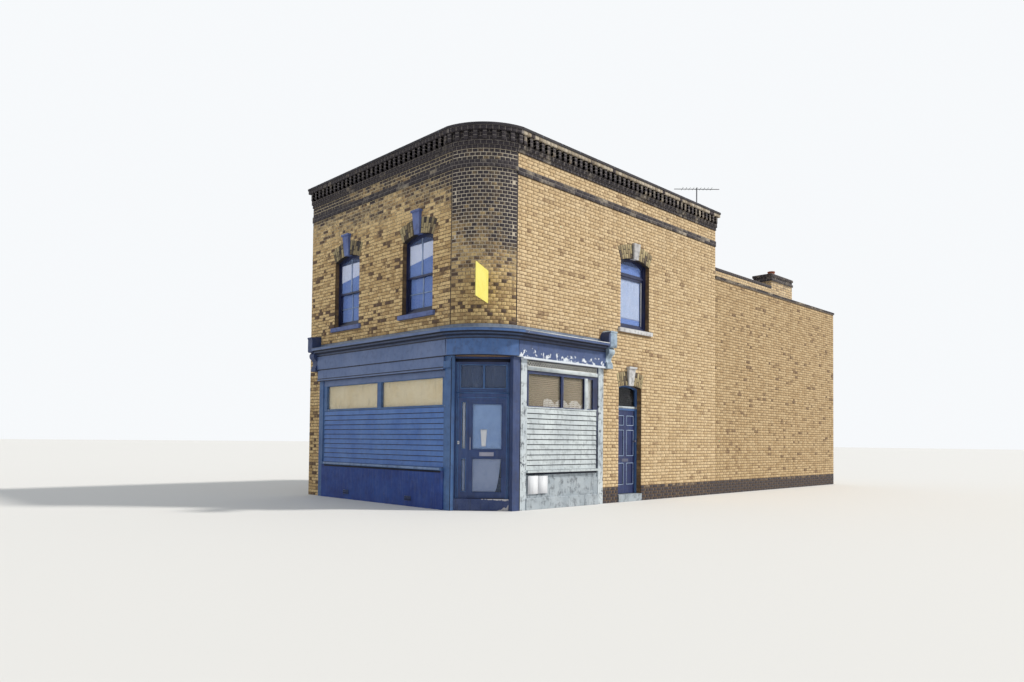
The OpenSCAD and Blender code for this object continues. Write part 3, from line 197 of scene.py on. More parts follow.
def brickFaceLook(i):
    # Colour of a single brick: clay by its mark, fired patches, grain, dark pits, soot in ragged sheets
    where, mark = i["Where"], put("SeparateXYZ", {0: i["Mark"]}).outputs
    fine, patch = noise(where, 90, 5, 0.65), noise(where, 14, 3)
    clay = blend(ramp(mark[0], 0.1, 0.9), i["Clay A"], i["Clay B"])
    fired = ramp(add(mark[0], mul(patch, 0.25)), i["Burnt From"], add(i["Burnt From"], 0.16))
    clay = blend(fired, clay, i["Burnt"])
    grain = add(0.66, mul(fine, 0.68))
    grain = put("CombineColor", {0: grain, 1: grain, 2: add(0.66, mul(fine, 0.66))}).outputs[0]
    clay = blend(1.0, clay, grain, "MULTIPLY")
    pits = ramp(noise(where, 24, 3, 0.6), 0.56, 0.66)
    clay = blend(mul(pits, i["Pitting"]), clay, i["Burnt"])
    ragged = add(mark[1], mul(sub(patch, 0.5), 0.7))
    soot = blend(ramp(fine, 0.35, 0.7), i["Soot"], (78, 70, 70))
    colour = blend(ramp(ragged, 0.25, 0.85), clay, soot)
    return colour, ramp(fine, 0.3, 0.7, 0.82, 0.96), add(mul(fine, 0.8), mul(patch, 0.6))


def mortarWallLook(i):
    # Courses of brick and mortar for faces without laid bricks: across is x + y, so it fits every square face
    where, xyz = i["Where"], put("SeparateXYZ", {0: i["Where"]}).outputs
    plane = put("CombineXYZ", {0: add(xyz[0], xyz[1]), 1: add(xyz[2], bedLow)}).outputs[0]
    wall = put("TexBrick", {
        "Vector": plane, "Color1": i["Clay A"], "Color2": i["Clay B"], "Mortar": i["Mortar"], "Scale": 1.0,
        "Mortar Size": 0.005, "Mortar Smooth": 0.15, "Bias": 0.1, "Brick Width": 0.225, "Row Height": course}).outputs
    fine, broad = noise(where, 70, 5, 0.65), noise(where, 1.6, 4)
    mortar = blend(mul(ramp(fine, 0.45, 0.75), 0.5), i["Mortar"], (96, 84, 68))
    dirt = add(i["Soot"], mul(sub(broad, 0.5), 0.9), True)
    colour = blend(mul(dirt, 0.85), blend(i["Bare"], wall["Color"], mortar), (40, 35, 36))
    height = sub(mul(fine, 0.35), mul(wall["Fac"], sub(1.0, i["Bare"])))
    return colour, ramp(fine, 0.3, 0.7, 0.85, 0.97), height


def paintWearLook(i):
    # Old gloss paint: chalky fading, brush lines, flakes down to the undercoat, and grime in streaks and patches
    where = i["Where"]
    broad, mid, fine = noise(where, 1.7, 5), noise(where, 9, 6, 0.62), noise(where, 130, 3)
    streak = noise(where, 6, 5, 0.6, (4.0, 4.0, 0.5))
    colour = blend(ramp(broad, 0.34, 0.68), i["Paint"], i["Faded"])
    colour = blend(mul(ramp(streak, 0.42, 0.72), i["Chalk"]), colour, (150, 160, 184))
    colour = blend(mul(ramp(add(mid, mul(streak, 0.5)), 0.70, 0.98), i["Grime"]), colour, (40, 40, 46))
    flake = ramp(add(add(mul(mid, 0.75), mul(broad, 0.35)), mul(i["Flakes"], 0.5)), 0.735, 0.755)
    rough = add(add(i["Gloss"], mul(mid, 0.3)), mul(flake, 0.2), True)
    return blend(flake, colour, i["Under"]), rough, sub(add(mul(fine, 0.2), mul(streak, 0.4)), flake)


def weatheredLook(i):
    # Plain mineral or sheet surface: two tones in broad patches, fine grain, dark runs down the face
    broad, grain = noise(i["Where"], 2.3, 5), noise(i["Where"], i["Grain"], 5.0, 0.65)
    runs = noise(i["Where"], 5, 4, 0.55, (3.5, 3.5, 0.45))
    colour = blend(ramp(add(mul(broad, 0.6), mul(grain, 0.4)), 0.38, 0.64), i["Tone A"], i["Tone B"])
    colour = blend(mul(ramp(runs, 0.5, 0.75), i["Staining"]), colour, i["Stain"])
    return colour, add(sub(i["Rough"], 0.08), mul(grain, 0.16), True), grain


darkStain, paleMortar = (40, 38, 38), (186, 170, 138)
brickFace = group("brickFace", brickFaceLook, {
    "Mark": None, "Clay A": (196, 160, 106), "Clay B": (160, 122, 78), "Burnt": (92, 66, 52), "Soot": (34, 30, 32),
    "Burnt From": 0.93, "Pitting": 0.5})
mortarWall = group("mortarWall", mortarWallLook, {
    "Bare": 0.0, "Soot": 0.0, "Mortar": paleMortar, "Clay A": (186, 150, 100), "Clay B": (128, 98, 66)})
paintWear = group("paintWear", paintWearLook, {
    "Paint": (78, 94, 140), "Faded": (104, 116, 150), "Under": (214, 214, 206), "Flakes": 0.1, "Grime": 0.3,
    "Gloss": 0.45, "Chalk": 0.07})
weathered = group("weathered", weatheredLook, {
    "Tone A": (200, 192, 176), "Tone B": (178, 168, 150), "Stain": darkStain, "Staining": 0.4, "Grain": 40.0,
    "Rough": 0.8})


# Materials
def material(name):
    # The material, the inputs of its shader, and the place on the object
    made = bpy.data.materials.new(name)
    made.use_nodes = True
    tree = made.node_tree
    return made, tree.nodes["Principled BSDF"].inputs, put("TexCoord", tree=tree).outputs["Object"]


def useGroup(made, inputs):
    return put("Group", inputs, node_tree=made).outputs


def finishWith(shader, outs, bump, distance):
    feed(shader["Base Color"], outs["Color"])
    feed(shader["Roughness"], outs["Roughness"])
    feed(shader["Normal"], put("Bump", {"Height": outs["Height"], "Strength": bump, "Distance": distance}).outputs[0])


def brickMaterial(name, clayA, clayB, burnt, soot, burntFrom, pitting):
    made, shader, where = material(name)
    mark = put("Attribute", tree=where.id_data, attribute_name="brickMark").outputs["Vector"]
    finishWith(shader, useGroup(brickFace, {
        "Where": where, "Mark": mark, "Clay A": clayA, "Clay B": clayB, "Burnt": burnt, "Soot": soot,
        "Burnt From": burntFrom, "Pitting": pitting}), 0.5, 0.002)
    return made


def coreMaterial(name, soot, bareAt=None, insideAt=None, mortar=paleMortar, bed=None, high=None, rise=(5.6, 6.9),
                 reveal=0.0):
    # bareAt and insideAt are (axis, value): the outer face shows mortar between the laid bricks, the inner one plaster.
    # bed is the mortar of the level joints, darker than the upright ones as painted shade under each course; high is
    # the one above the heights in rise; the last argument is the painted shade on all other faces: reveals, wall ends
    # and tops
    made, shader, where = material(name)
    bare = 0.0 if bareAt is None else 1.0 if bareAt == "all" else nearPlane(where, *bareAt)
    # Painted shade: the level joints darker than the upright ones
    if bed:
        level = calc("FRACT", calc("DIVIDE", add(alongAxis(where, "z"), bedLow), course))
        mortar = blend(calc("GREATER_THAN", level, 0.83), mortar, bed)
    if high:
        mortar = blend(ramp(alongAxis(where, "z"), *rise), mortar, high)
    # Painted shade darkens the reveals, wall ends and tops
    if reveal:
        soot = add(soot, mul(sub(1.0, calc("MAXIMUM", bare, nearPlane(where, *insideAt))), reveal))
    outs = useGroup(mortarWall, {"Where": where, "Soot": soot, "Mortar": mortar, "Bare": bare})
    finishWith(shader, outs, 0.6, 0.004)
    if insideAt:
        plaster = useGroup(weathered, {"Where": where, "Staining": 0.15, "Grain": 30.0, "Rough": 0.85})
        feed(shader["Base Color"], blend(nearPlane(where, *insideAt), outs["Color"], plaster["Color"]))
    return made


def paint(where, one, more=None):
    # one holds the paint, its faded and under colours, flakes, grime and gloss; more adds flakes where its mask is
    labels = ("Paint", "Faded", "Under", "Flakes", "Grime", "Gloss")
    inputs = {"Where": where, **dict(zip(labels, one))}
    if more is not None:
        inputs["Flakes"] = add(inputs["Flakes"], more)
    return useGroup(paintWear, inputs)


def paintedShadeLines(where, outs, heights, half=0.008, amount=0.95):
    # Painted shade: blue-black lines in the quirks of mouldings and between boards, at the given heights
    if len(heights) == 0:
        return outs
    mask = 0.0
    for level in heights:
        mask = calc("MAXIMUM", nearPlane(where, "z", float(level), half), mask)
    colour = blend(mul(mask, amount), outs["Color"], (14, 18, 38))
    return {"Color": colour, "Roughness": outs["Roughness"], "Height": outs["Height"]}


def paintMaterial(name, one, flaking=(), shadeLinesAt=()):
    # flaking holds (height where it starts, height where it is full, amount)
    made, shader, where = material(name)
    more = None
    for start, full, amount in flaking:
        more = add(mul(ramp(alongAxis(where, "z"), start, full), amount), more or 0.0)
    outs = paint(where, one, more)
    if shadeLinesAt:
        # Painted shade: a wide dark band in the cornice's hollow, then dark lines at the given heights
        outs = paintedShadeLines(where, paintedShadeLines(where, outs, (3.505,), 0.062, 0.6), shadeLinesAt, 0.012)
    finishWith(shader, outs, 0.35, 0.0015)
    return made


def twoPaints(name, first, second, axis, edge, firstShadeLines=(), secondShadeLines=()):
    # A node with two colours: the second paint where the coordinate on the axis is past the edge
    made, shader, where = material(name)
    past = calc("GREATER_THAN", alongAxis(where, axis), edge)
    # Each paint gets painted shade lines at its own heights
    a, b = paintedShadeLines(where, paint(where, first), firstShadeLines), paintedShadeLines(where, paint(where, second), secondShadeLines)
    outs = {key: blend(past, a[key], b[key]) for key in ("Color", "Roughness", "Height")}
    finishWith(shader, outs, 0.35, 0.0015)
    return made


def plainMaterial(name, toneA, toneB, staining, grain, rough, stain=darkStain, metallic=0.0):
    made, shader, where = material(name)
    finishWith(shader, useGroup(weathered, {
        "Where": where, "Tone A": toneA, "Tone B": toneB, "Staining": staining, "Stain": stain, "Grain": grain,
        "Rough": rough}), 0.3, 0.002)
    shader["Metallic"].default_value = metallic
    return made


def glassMaterial(name, tint, clear, rough=0.04, low=None):
    # low is the tint of panes of the ground floor, nearly black as painted shade of the dark rooms behind them
    made, shader, where = material(name)
    if low:
        tint = blend(calc("GREATER_THAN", alongAxis(where, "z"), 3.0), low, tint)
    dust = ramp(noise(where, 5, 5, 0.6, (1.5, 1.5, 0.6)), 0.5, 0.9)
    feed(shader["Base Color"], blend(mul(dust, 0.25), tint, (196, 198, 196)))
    feed(shader["Roughness"], add(rough, mul(dust, 0.12)))
    feed(shader["Alpha"], add(1 - clear, mul(dust, 0.12), True))
    shader["IOR"].default_value = 1.52
    shader["Specular IOR Level"].default_value = 0.3
    return made


# Two clays, burnt clay, soot, the mark above which a brick is burnt, and how pitted it is
bricks = {
    "stockBrick": ((212, 187, 148), (195, 168, 128), (120, 94, 70), (46, 42, 48), 1.03, 0.65),
    "wingBrick": ((196, 170, 130), (176, 148, 108), (110, 86, 64), (46, 42, 48), 1.0, 0.65),
    "shadeBrick": ((226, 196, 144), (188, 156, 108), (96, 76, 62), (28, 24, 36), 0.92, 0.95),
    "bowBrick": ((206, 178, 128), (158, 130, 92), (84, 68, 58), (16, 15, 32), 0.90, 0.85),
    "archBrick": ((176, 160, 122), (138, 122, 92), (78, 66, 56), (32, 29, 31), 0.95, 0.4),
    "sootBrick": ((186, 174, 156), (146, 132, 112), (58, 48, 50), (14, 13, 30), 0.92, 0.4),
}
# Paint, faded paint, what shows under it, flakes, grime, gloss
paints = {
    "joinery": ((54, 90, 142), (72, 106, 154), (150, 158, 176), 0.0, 0.30, 0.4),
    "windowFrame": ((12, 20, 54), (30, 40, 80), (120, 124, 150), 0.0, 0.4, 0.2),
    "frontBoards": ((62, 104, 174), (80, 120, 184), (168, 176, 196), 0.0, 0.15, 0.35),
    "frontRiser": ((14, 48, 120), (28, 66, 140), (96, 108, 150), 0.0, 0.22, 0.5),
    "door": ((26, 50, 100), (42, 68, 120), (96, 106, 140), 0.0, 0.30, 0.3),
    "fascia": ((90, 110, 152), (104, 122, 162), (150, 154, 164), 0.0, 0.2, 0.4),
    "cornerFascia": ((56, 92, 146), (74, 108, 162), (150, 154, 164), 0.0, 0.35, 0.35),
    "peeling": ((52, 72, 118), (68, 88, 130), (212, 218, 226), 0.06, 0.35, 0.45),
    "pale": ((176, 186, 194), (198, 206, 210), (84, 90, 102), 0.15, 0.7, 0.5),
    "paleBoards": ((180, 188, 192), (200, 208, 210), (150, 156, 162), 0.0, 0.35, 0.5),
    "palePlinth": ((172, 180, 186), (148, 158, 166), (118, 124, 134), 0.08, 0.6, 0.6),
    "paleStone": ((206, 206, 206), (186, 184, 184), (120, 116, 118), 0.0, 0.5, 0.6),
    "paleConsole": ((140, 160, 180), (190, 202, 206), (90, 100, 120), 0.06, 0.6, 0.5),
    "sideDoor": ((18, 34, 84), (30, 48, 100), (150, 156, 170), 0.0, 0.35, 0.35),
    "sill": ((80, 96, 152), (100, 116, 166), (170, 172, 176), 0.0, 0.4, 0.5),
    "cream": ((246, 246, 240), (234, 234, 226), (110, 102, 92), 0.02, 0.5, 0.5),
    "navy": ((34, 52, 94), (48, 66, 110), (110, 120, 146), 0.0, 0.35, 0.4),
    # A paler blue laid on the front rail's top edge as a painted highlight
    "railLight": ((112, 136, 176), (132, 154, 190), (110, 120, 140), 0.03, 0.4, 0.4),
    "paleDoor": ((150, 172, 206), (176, 192, 214), (180, 186, 196), 0.0, 0.4, 0.4),
}
frontGrooves, flankGrooves = 0.85 + 0.1118 * np.arange(12) - 0.002, 0.80 + 0.1067 * np.arange(13) - 0.002
quirks = (3.100, 3.441, 3.497, 3.553)
# Name of the paint, where it flakes, heights of painted shade lines
painted = {
    "joineryBlue": ("joinery",), "windowBlue": ("windowFrame",), "doorBlue": ("door",), "palePeeling": ("pale",),
    "paleRail": ("paleBoards",), "sideDoorBlue": ("sideDoor",), "creamIron": ("cream",), "palePlinth": ("palePlinth",),
    "sideBead": ("paleDoor",), "railLight": ("railLight",), "fasciaBlue": ("fascia", (), (2.822, 2.875, *quirks)),
    "cornerFascia": ("cornerFascia", (), quirks),
    "fasciaPeeling": ("peeling", ((3.42, 3.16, 0.29), (3.112, 3.104, 0.60)), quirks[1:]),
}
# Names of both paints, axis and edge between them, heights of painted shade lines in each
twoPainted = {
    "boardPaint": ("frontBoards", "paleBoards", "x", 0.3, frontGrooves, flankGrooves),
    "riserPaint": ("frontRiser", "palePlinth", "x", 0.3),
    "pilasterPaint": ("joinery", "pale", "x", 0.3),
    # Blue sills and keystones on the front; the pale copy on the flank is painted sunlight on them
    "stonePaint": ("sill", "paleStone", "x", 0.3),
    # Navy where y is under the edge: on the flank-end console this is painted shade on its rounded shoulder and cheek,
    # turned away from the light; the rest of it is pale
    "consolePaint": ("navy", "paleConsole", "y", 3.245),
    "postPaint": ("joinery", "navy", "y", 0.0),
    "frontFrame": ("joinery", "fascia", "z", 2.69),
    "flankFrame": ("paleBoards", "windowFrame", "z", 2.118),
}
# Two tones, staining, grain, roughness, and where they differ from plain: stain, metallic
plains = {
    "stepStone": ((40, 56, 100), (70, 82, 118), 0.5, 45.0, 0.75),
    "chippedStone": ((196, 192, 192), (168, 166, 172), 0.4, 60.0, 0.9),
    "copingBlack": ((34, 32, 38), (56, 52, 58), 0.5, 35.0, 0.85),
    "leadSheet": ((104, 114, 132), (140, 148, 160), 0.35, 16.0, 0.55, (60, 64, 76), 0.3),
    # The pale lead is a painted highlight: a lit copy of the lead for the sunlit lip of the flank cornice
    "leadPale": ((208, 210, 212), (176, 180, 186), 0.4, 30.0, 0.6, (90, 92, 100)),
    "slate": ((74, 78, 88), (100, 102, 110), 0.3, 22.0, 0.6),
    "boards": ((122, 96, 68), (92, 72, 52), 0.3, 24.0, 0.75),
    "sawnTimber": ((146, 116, 80), (116, 90, 62), 0.2, 30.0, 0.85),
    "terracotta": ((160, 92, 64), (128, 74, 54), 0.4, 50.0, 0.8),
    "blackPipe": ((26, 27, 30), (40, 41, 45), 0.2, 80.0, 0.45, (70, 68, 64)),
    "dullAluminium": ((120, 122, 126), (92, 94, 98), 0.3, 90.0, 0.5, darkStain, 0.7),
    "steel": ((150, 150, 166), (124, 124, 144), 0.25, 120.0, 0.4, darkStain, 0.6),
    "brass": ((120, 122, 140), (96, 98, 118), 0.2, 120.0, 0.4, darkStain, 0.6),
    "yellowBoard": ((232, 224, 122), (224, 210, 92), 0.15, 30.0, 0.45, (206, 176, 70)),
    "whitePaper": ((222, 224, 228), (206, 208, 214), 0.15, 40.0, 0.8),
    "blindSlat": ((132, 112, 96), (108, 90, 78), 0.25, 60.0, 0.7),
    "blindCloth": ((254, 242, 212), (244, 226, 186), 0.12, 12.0, 0.85),
    "curtain": ((130, 162, 222), (110, 142, 208), 0.15, 20.0, 0.9, (90, 106, 160)),
    "paleCurtain": ((240, 248, 255), (220, 234, 248), 0.12, 20.0, 0.9, (170, 190, 214)),
    "film": ((160, 190, 234), (144, 174, 222), 0.15, 8.0, 0.7, (120, 150, 200)),
    "greyFilm": ((166, 176, 202), (146, 158, 190), 0.2, 8.0, 0.7, (124, 136, 172)),
    # The near-white upper blind is painted reflection: it stands for the sky seen in the upper panes
    "upperBlind": ((250, 252, 255), (236, 240, 248), 0.12, 30.0, 0.85, (190, 200, 216)),
    # Blue-black for painted shade: thin strips where shadow falls in seams and under ledges
    "seamBlack": ((12, 16, 36), (24, 28, 50), 0.2, 40.0, 0.8),
    "darkCloth": ((40, 52, 92), (26, 36, 70), 0.3, 20.0, 0.9),
}
# Tint, how clear, roughness, tint of the low panes. The blue tint of windowGlass is painted sky reflection and the tan
# of shopGlass painted reflection of the houses opposite; the nearly black low tint is painted shade
glasses = {
    "windowGlass": ((124, 146, 200), 0.78, 0.04, (3, 4, 12)),
    "shopGlass": ((190, 180, 156), 0.80),
    "doorGlass": ((132, 152, 184), 0.85, 0.06),
}
# Walls behind the laid bricks: soot, outer face, inner face, mortars with the bed one darker as painted shade, and
# painted shade on the reveals
ox, oy = cornerAt[:2]
cores = {
    "frontCore": {"soot": 0.0, "bareAt": ("y", oy), "insideAt": ("y", oy + 0.33), "mortar": (160, 136, 98),
                  "bed": (104, 82, 58), "high": (196, 180, 150), "reveal": 0.75},
    "bowCore": {"soot": 0.0, "bareAt": "all", "mortar": (150, 126, 88), "bed": (118, 96, 66), "high": (196, 184, 166),
                "rise": (4.3, 5.6)},
    "flankCore": {"soot": 0.0, "bareAt": ("x", ox), "insideAt": ("x", ox - 0.33), "mortar": (158, 130, 92),
                  "bed": (96, 74, 52), "high": (116, 92, 64), "rise": (4.6, 6.2), "reveal": 0.6},
    "rearCore": {"soot": 0.2, "bareAt": ("y", oy + 8.70), "insideAt": ("y", oy + 8.475)},
    "wingCore": {"soot": 0.05, "bareAt": ("x", ox), "insideAt": ("x", ox - 0.225), "mortar": (146, 120, 84),
                 "bed": (92, 72, 50)},
    "yardCore": {"soot": 0.15, "bareAt": ("x", ox - 3.05), "insideAt": ("x", ox - 2.825)},
    "endCore": {"soot": 0.15, "bareAt": ("y", oy + 16.75), "insideAt": ("y", oy + 16.525)},
    "partyCore": {"soot": 0.2, "insideAt": ("x", ox - 6.195)},
    "sootyCore": {"soot": 0.45, "bareAt": "all", "mortar": (160, 152, 146)},
    "archCore": {"soot": 0.85, "bareAt": "all", "mortar": (60, 52, 46)},
}
finish = {
    **{name: brickMaterial(name, *one) for name, one in bricks.items()},
    **{name: paintMaterial(name, paints[one], *rest) for name, (one, *rest) in painted.items()},
    **{name: twoPaints(name, paints[a], paints[b], *rest) for name, (a, b, *rest) in twoPainted.items()},
    **{name: plainMaterial(name, *one) for name, one in plains.items()},
    **{name: glassMaterial(name, *one) for name, one in glasses.items()},
    **{name: coreMaterial(name, **one) for name, one in cores.items()},
}
for lit, glow in (("upperBlind", 0.22), ("curtain", 0.10), ("blindCloth", 0.10)):  # painted light: these cloths glow though no lamp lights them
    shader = finish[lit].node_tree.nodes["Principled BSDF"].inputs
    feed(shader["Emission Color"], shader["Base Color"].links[0].from_socket)
    shader["Emission Strength"].default_value = glow
print("finishes made")


# Mesh helpers
def newPiece(name, points, faces, made, body="building", marks=None, smooth=False):
    # points is (n, 3) and faces (m, 4) or a list of index lists; the piece keeps its place in its mesh
    mesh = bpy.data.meshes.new(name)
    if isinstance(faces, np.ndarray):
        mesh.vertices.add(len(points))
        mesh.vertices.foreach_set("co", np.ascontiguousarray(points, dtype=np.float32).ravel())
        mesh.loops.add(faces.size)
        mesh.loops.foreach_set("vertex_index", np.ascontiguousarray(faces, dtype=np.int32).ravel())
        mesh.polygons.add(len(faces))
        mesh.polygons.foreach_set("loop_start", np.arange(0, faces.size, faces.shape[1], dtype=np.int32))
        mesh.update(calc_edges=True)
    else:
        mesh.from_pydata(np.asarray(points).tolist(), [], faces)
        mesh.update()
    if marks is not None:
        layer = mesh.attributes.new("brickMark", "FLOAT_VECTOR", "POINT")
        layer.data.foreach_set("vector", np.ascontiguousarray(marks, dtype=np.float32).ravel())
    if smooth:
        mesh.polygons.foreach_set("use_smooth", np.ones(len(mesh.polygons), dtype=bool))
    mesh.validate()
    mesh.materials.append(made)
    piece = newObject(name, mesh)
    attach(piece, body)
    return piece


def settle(piece):
    # Doubles merged and normals turned outwards
    work = bmesh.new()
    work.from_mesh(piece.data)
    bmesh.ops.remove_doubles(work, verts=work.verts, dist=1e-5)
    bmesh.ops.recalc_face_normals(work, faces=work.faces)
    work.to_mesh(piece.data)
    work.free()


blockFaces = np.array([[0, 1, 2, 3], [4, 5, 1, 0], [5, 6, 2, 1], [6, 7, 3, 2], [7, 4, 0, 3],
                       [8, 9, 5, 4], [9, 10, 6, 5], [10, 11, 7, 6], [11, 8, 4, 7], [11, 10, 9, 8]])


def blocks(corners, facing, depth, chamfer):
    # Each block is a front quad with a chamfered rim and straight sides: 4 inner corners, 4 of the rim, 4 at the back
    ahead, behind = unit(np.roll(corners, -1, axis=1) - corners), unit(np.roll(corners, 1, axis=1) - corners)
    out = facing[:, None, :]
    deep = np.reshape(depth, (-1, 1, 1))
    rings = [corners + chamfer * (ahead + behind), corners - chamfer * out, corners - deep * out]
    faces = (blockFaces[None] + 12 * np.arange(len(corners))[:, None, None]).reshape(-1, 4)
    return np.concatenate(rings, axis=1).reshape(-1, 3), faces


def joined(parts):
    # Several (points, faces) pairs as one, with the face numbers moved on
    points, faces, start = [], [], 0
    for p, f in parts:
        points.append(np.asarray(p).reshape(-1, 3))
        faces.append(np.asarray(f) + start)
        start += len(points[-1])
    return np.concatenate(points), np.concatenate(faces)


def box(x0, x1, y0, y1, z0, z1, chamfer):
    # Chamfered box: a low rim above and below a full-size middle, in one closed shell of 16 points
    c = min(chamfer, *(0.4 * abs(d) for d in (x1 - x0, y1 - y0, z1 - z0)))
    points = []
    for d, z in ((c, z0), (0, z0 + c), (0, z1 - c), (c, z1)):
        points += [(x0 + d, y0 + d, z), (x1 - d, y0 + d, z), (x1 - d, y1 - d, z), (x0 + d, y1 - d, z)]
    around = [[4 * k + j, 4 * k + (j + 1) % 4, 4 * k + 4 + (j + 1) % 4, 4 * k + 4 + j]
              for k in range(3) for j in range(4)]
    return np.array(points), np.array([[3, 2, 1, 0], [12, 13, 14, 15]] + around)


def upright(outline, z0, z1):
    # An outline of (along, out) carried straight up, with flat ends
    n = len(outline)
    points = np.concatenate([np.column_stack([outline, np.full(n, z)]) for z in (z0, z1)])
    around = [[b, (b + 1) % n, (b + 1) % n + n, b + n] for b in range(n)]
    return points, around + [list(range(n)), list(range(2 * n - 1, n - 1, -1))]


# Brick courses. A straight wall starts at a point and runs to the left of its facing direction
walls = {
    "front": {"start": (-6.42, 0.0), "facing": (0, -1)}, "flank": {"start": (0.0, 0.0), "facing": (1, 0)},
    "rear": {"start": (0.0, 8.70), "facing": (0, 1)}, "yard": {"start": (-3.05, 16.75), "facing": (-1, 0)},
    "end": {"start": (0.0, 16.75), "facing": (0, 1)},
}
bow = {"centre": (-1.1587, 1.1587), "radius": 1.1811, "first": -1.37585, "length": 1.39491}
# Period, places of the upright joints in it, and shift of every second course
bonds = {"flemish": (0.3375, (0.0, 0.225), 0.16875), "headers": (0.1125, (0.0,), 0.05625)}
joints = {"course": 0.012, "ledge": 0.010, "arch": 0.014}
# Smallest brick, and how far an upright joint keeps from the end of a row
smallest = {"side": 0.02, "bat": 0.055}
# How far a window opening goes under and beside its sill, and the joint between its jambs and arch
opening = {"sillDepth": 0.115, "sillOver": 0.09, "skew": 0.004}
levels = {"string": 6.8925, "stringTop": 7.0425, "corbel": 7.2675, "shopTop": 3.738}


def onWall(wall, s, z, out):
    # Straight: start + s along + out facing. Round: centre + (radius + out) at the angle first + s / radius
    s, z, out = np.broadcast_arrays(s, z, out)
    if "radius" in wall:
        angle, reach = wall["first"] + s / wall["radius"], wall["radius"] + out
        xy = np.stack([wall["centre"][0] + reach * np.cos(angle), wall["centre"][1] + reach * np.sin(angle)], axis=-1)
    else:
        facing = np.array(wall["facing"], dtype=float)
        xy = wall["start"] + s[..., None] * [-facing[1], facing[0]] + out[..., None] * facing
    return np.concatenate([xy, z[..., None]], axis=-1) + cornerAt


def facingAt(wall, s):
    if "radius" in wall:
        angle = wall["first"] + s / wall["radius"]
        return np.stack([np.cos(angle), np.sin(angle), np.zeros_like(angle)], axis=-1)
    return np.tile([*wall["facing"], 0.0], (len(s), 1))


def circleOf(width, spring, rise):
    # Radius of an arch and the height of its centre
    radius = (width * width / 4 + rise * rise) / (2 * rise)
    return radius, spring + rise - radius


def openingGap(centre, width, sill, spring, rise, key=None, archDepth=0.225):
    # What an opening takes out of a wall at height z: sill, jambs, splayed arch under its back curve, keystone
    radius, heart = circleOf(width, spring, rise)
    splay = (width / 2 + opening["skew"]) / (radius - rise)

    def gap(z):
        half = None
        if sill - opening["sillDepth"] <= z < sill:
            half = width / 2 + opening["sillOver"]
        elif sill <= z < spring - joints["course"]:
            half = width / 2
        elif spring - joints["course"] <= z < heart + radius + archDepth:
            half = min((z - heart) * splay, math.sqrt((radius + archDepth) ** 2 - (z - heart) ** 2))
        if key and spring + rise <= z < key["top"]:
            share = (z - spring - rise) / (key["top"] - spring - rise)
            capped = key["cap"] and z > key["top"] - 0.047
            half = max(half or 0, key["cap"] if capped else 0.087 + 0.043 * share)
        return None if half is None else (centre - half, centre + half)

    return gap


def rectGap(s0, s1, z0, z1):
    return lambda z: (s0, s1) if z0 <= z < z1 else None


def brickRow(left, right, low, high):
    # s at bottom left, bottom right, top right and top left, then the heights of both edges
    return np.stack(np.broadcast_arrays(left, right, right, left, low, high), axis=-1)


def layCourses(span, low, high, bond="flemish", gaps=(), top=None):
    # One brickRow for each brick, cut at the gaps, and none above top(s)
    period, perps, shift = bonds[bond]
    rows = []
    for k in range(math.floor((low + bedLow) / course), math.ceil((high + bedLow) / course)):
        z0, z1 = max(k * course - bedLow, low), min((k + 1) * course - bedLow - joints["course"], high)
        if z1 - z0 < smallest["side"]:
            continue
        cuts = [(gap, gap((z0 + z1) / 2)) for gap in gaps if gap((z0 + z1) / 2)]
        free = [span]
        for _, (c0, c1) in cuts:
            free = [part for a, b in free for part in ((a, min(b, c0)), (max(a, c1), b))
                    if part[1] - part[0] > smallest["side"]]
        offset = shift * (k % 2)
        for a, b in free:
            ends = np.array([[a, a], [b, b]])
            for gap, cut in cuts:
                for end, side in ((0, 1), (1, 0)):
                    for n, level in enumerate((z0, z1)):
                        slanted = abs(cut[side] - (a, b)[end]) < 1e-6 and gap(level)
                        if slanted and abs(slanted[side] - (a, b)[end]) < 0.06:
                            ends[end, n] = slanted[side]
            n0, n1 = math.floor((a - offset) / period) - 1, math.ceil((b - offset) / period) + 1
            perpsAt = np.sort([offset + n * period + p for n in range(n0, n1 + 1) for p in perps])
            perpsAt = perpsAt[(perpsAt > a + smallest["bat"]) & (perpsAt < b - smallest["bat"])]
            row = brickRow(np.append(a, perpsAt), np.append(perpsAt - joints["course"], b), z0, z1)
            row[0, [0, 3]], row[-1, [1, 2]] = ends
            rows.append(row)
    rows = np.concatenate(rows)
    return rows if top is None else rows[rows[:, 5] <= top((rows[:, 0] + rows[:, 1]) / 2) + joints["course"]]


def patchNoise(a, b, size, seed):
    # Smooth random field: a lattice of random numbers, joined by eased interpolation
    grid = np.random.default_rng(seed).random((256, 256))
    u, v = np.asarray(a) / size, np.asarray(b) / size
    iu, iv = np.floor(u).astype(int), np.floor(v).astype(int)
    fu, fv = ((f * f * (3 - 2 * f)) for f in (u - iu, v - iv))

    def along(n):
        return grid[iu % 256, n % 256] * (1 - fu) + grid[(iu + 1) % 256, n % 256] * fu

    return along(iv) * (1 - fv) + along(iv + 1) * fv


def markedBricks(name, points, faces, made, black, spread):
    # The 12 points of a brick carry one mark: clay tone, soot, and a spare random number
    n = len(black)
    black = np.clip(black + spread * (rng.random(n) - 0.5), 0, 1)
    marks = np.stack([rng.random(n), black, rng.random(n)], axis=1)
    newPiece(name, points, faces, finish[made], marks=np.repeat(marks, 12, axis=0))


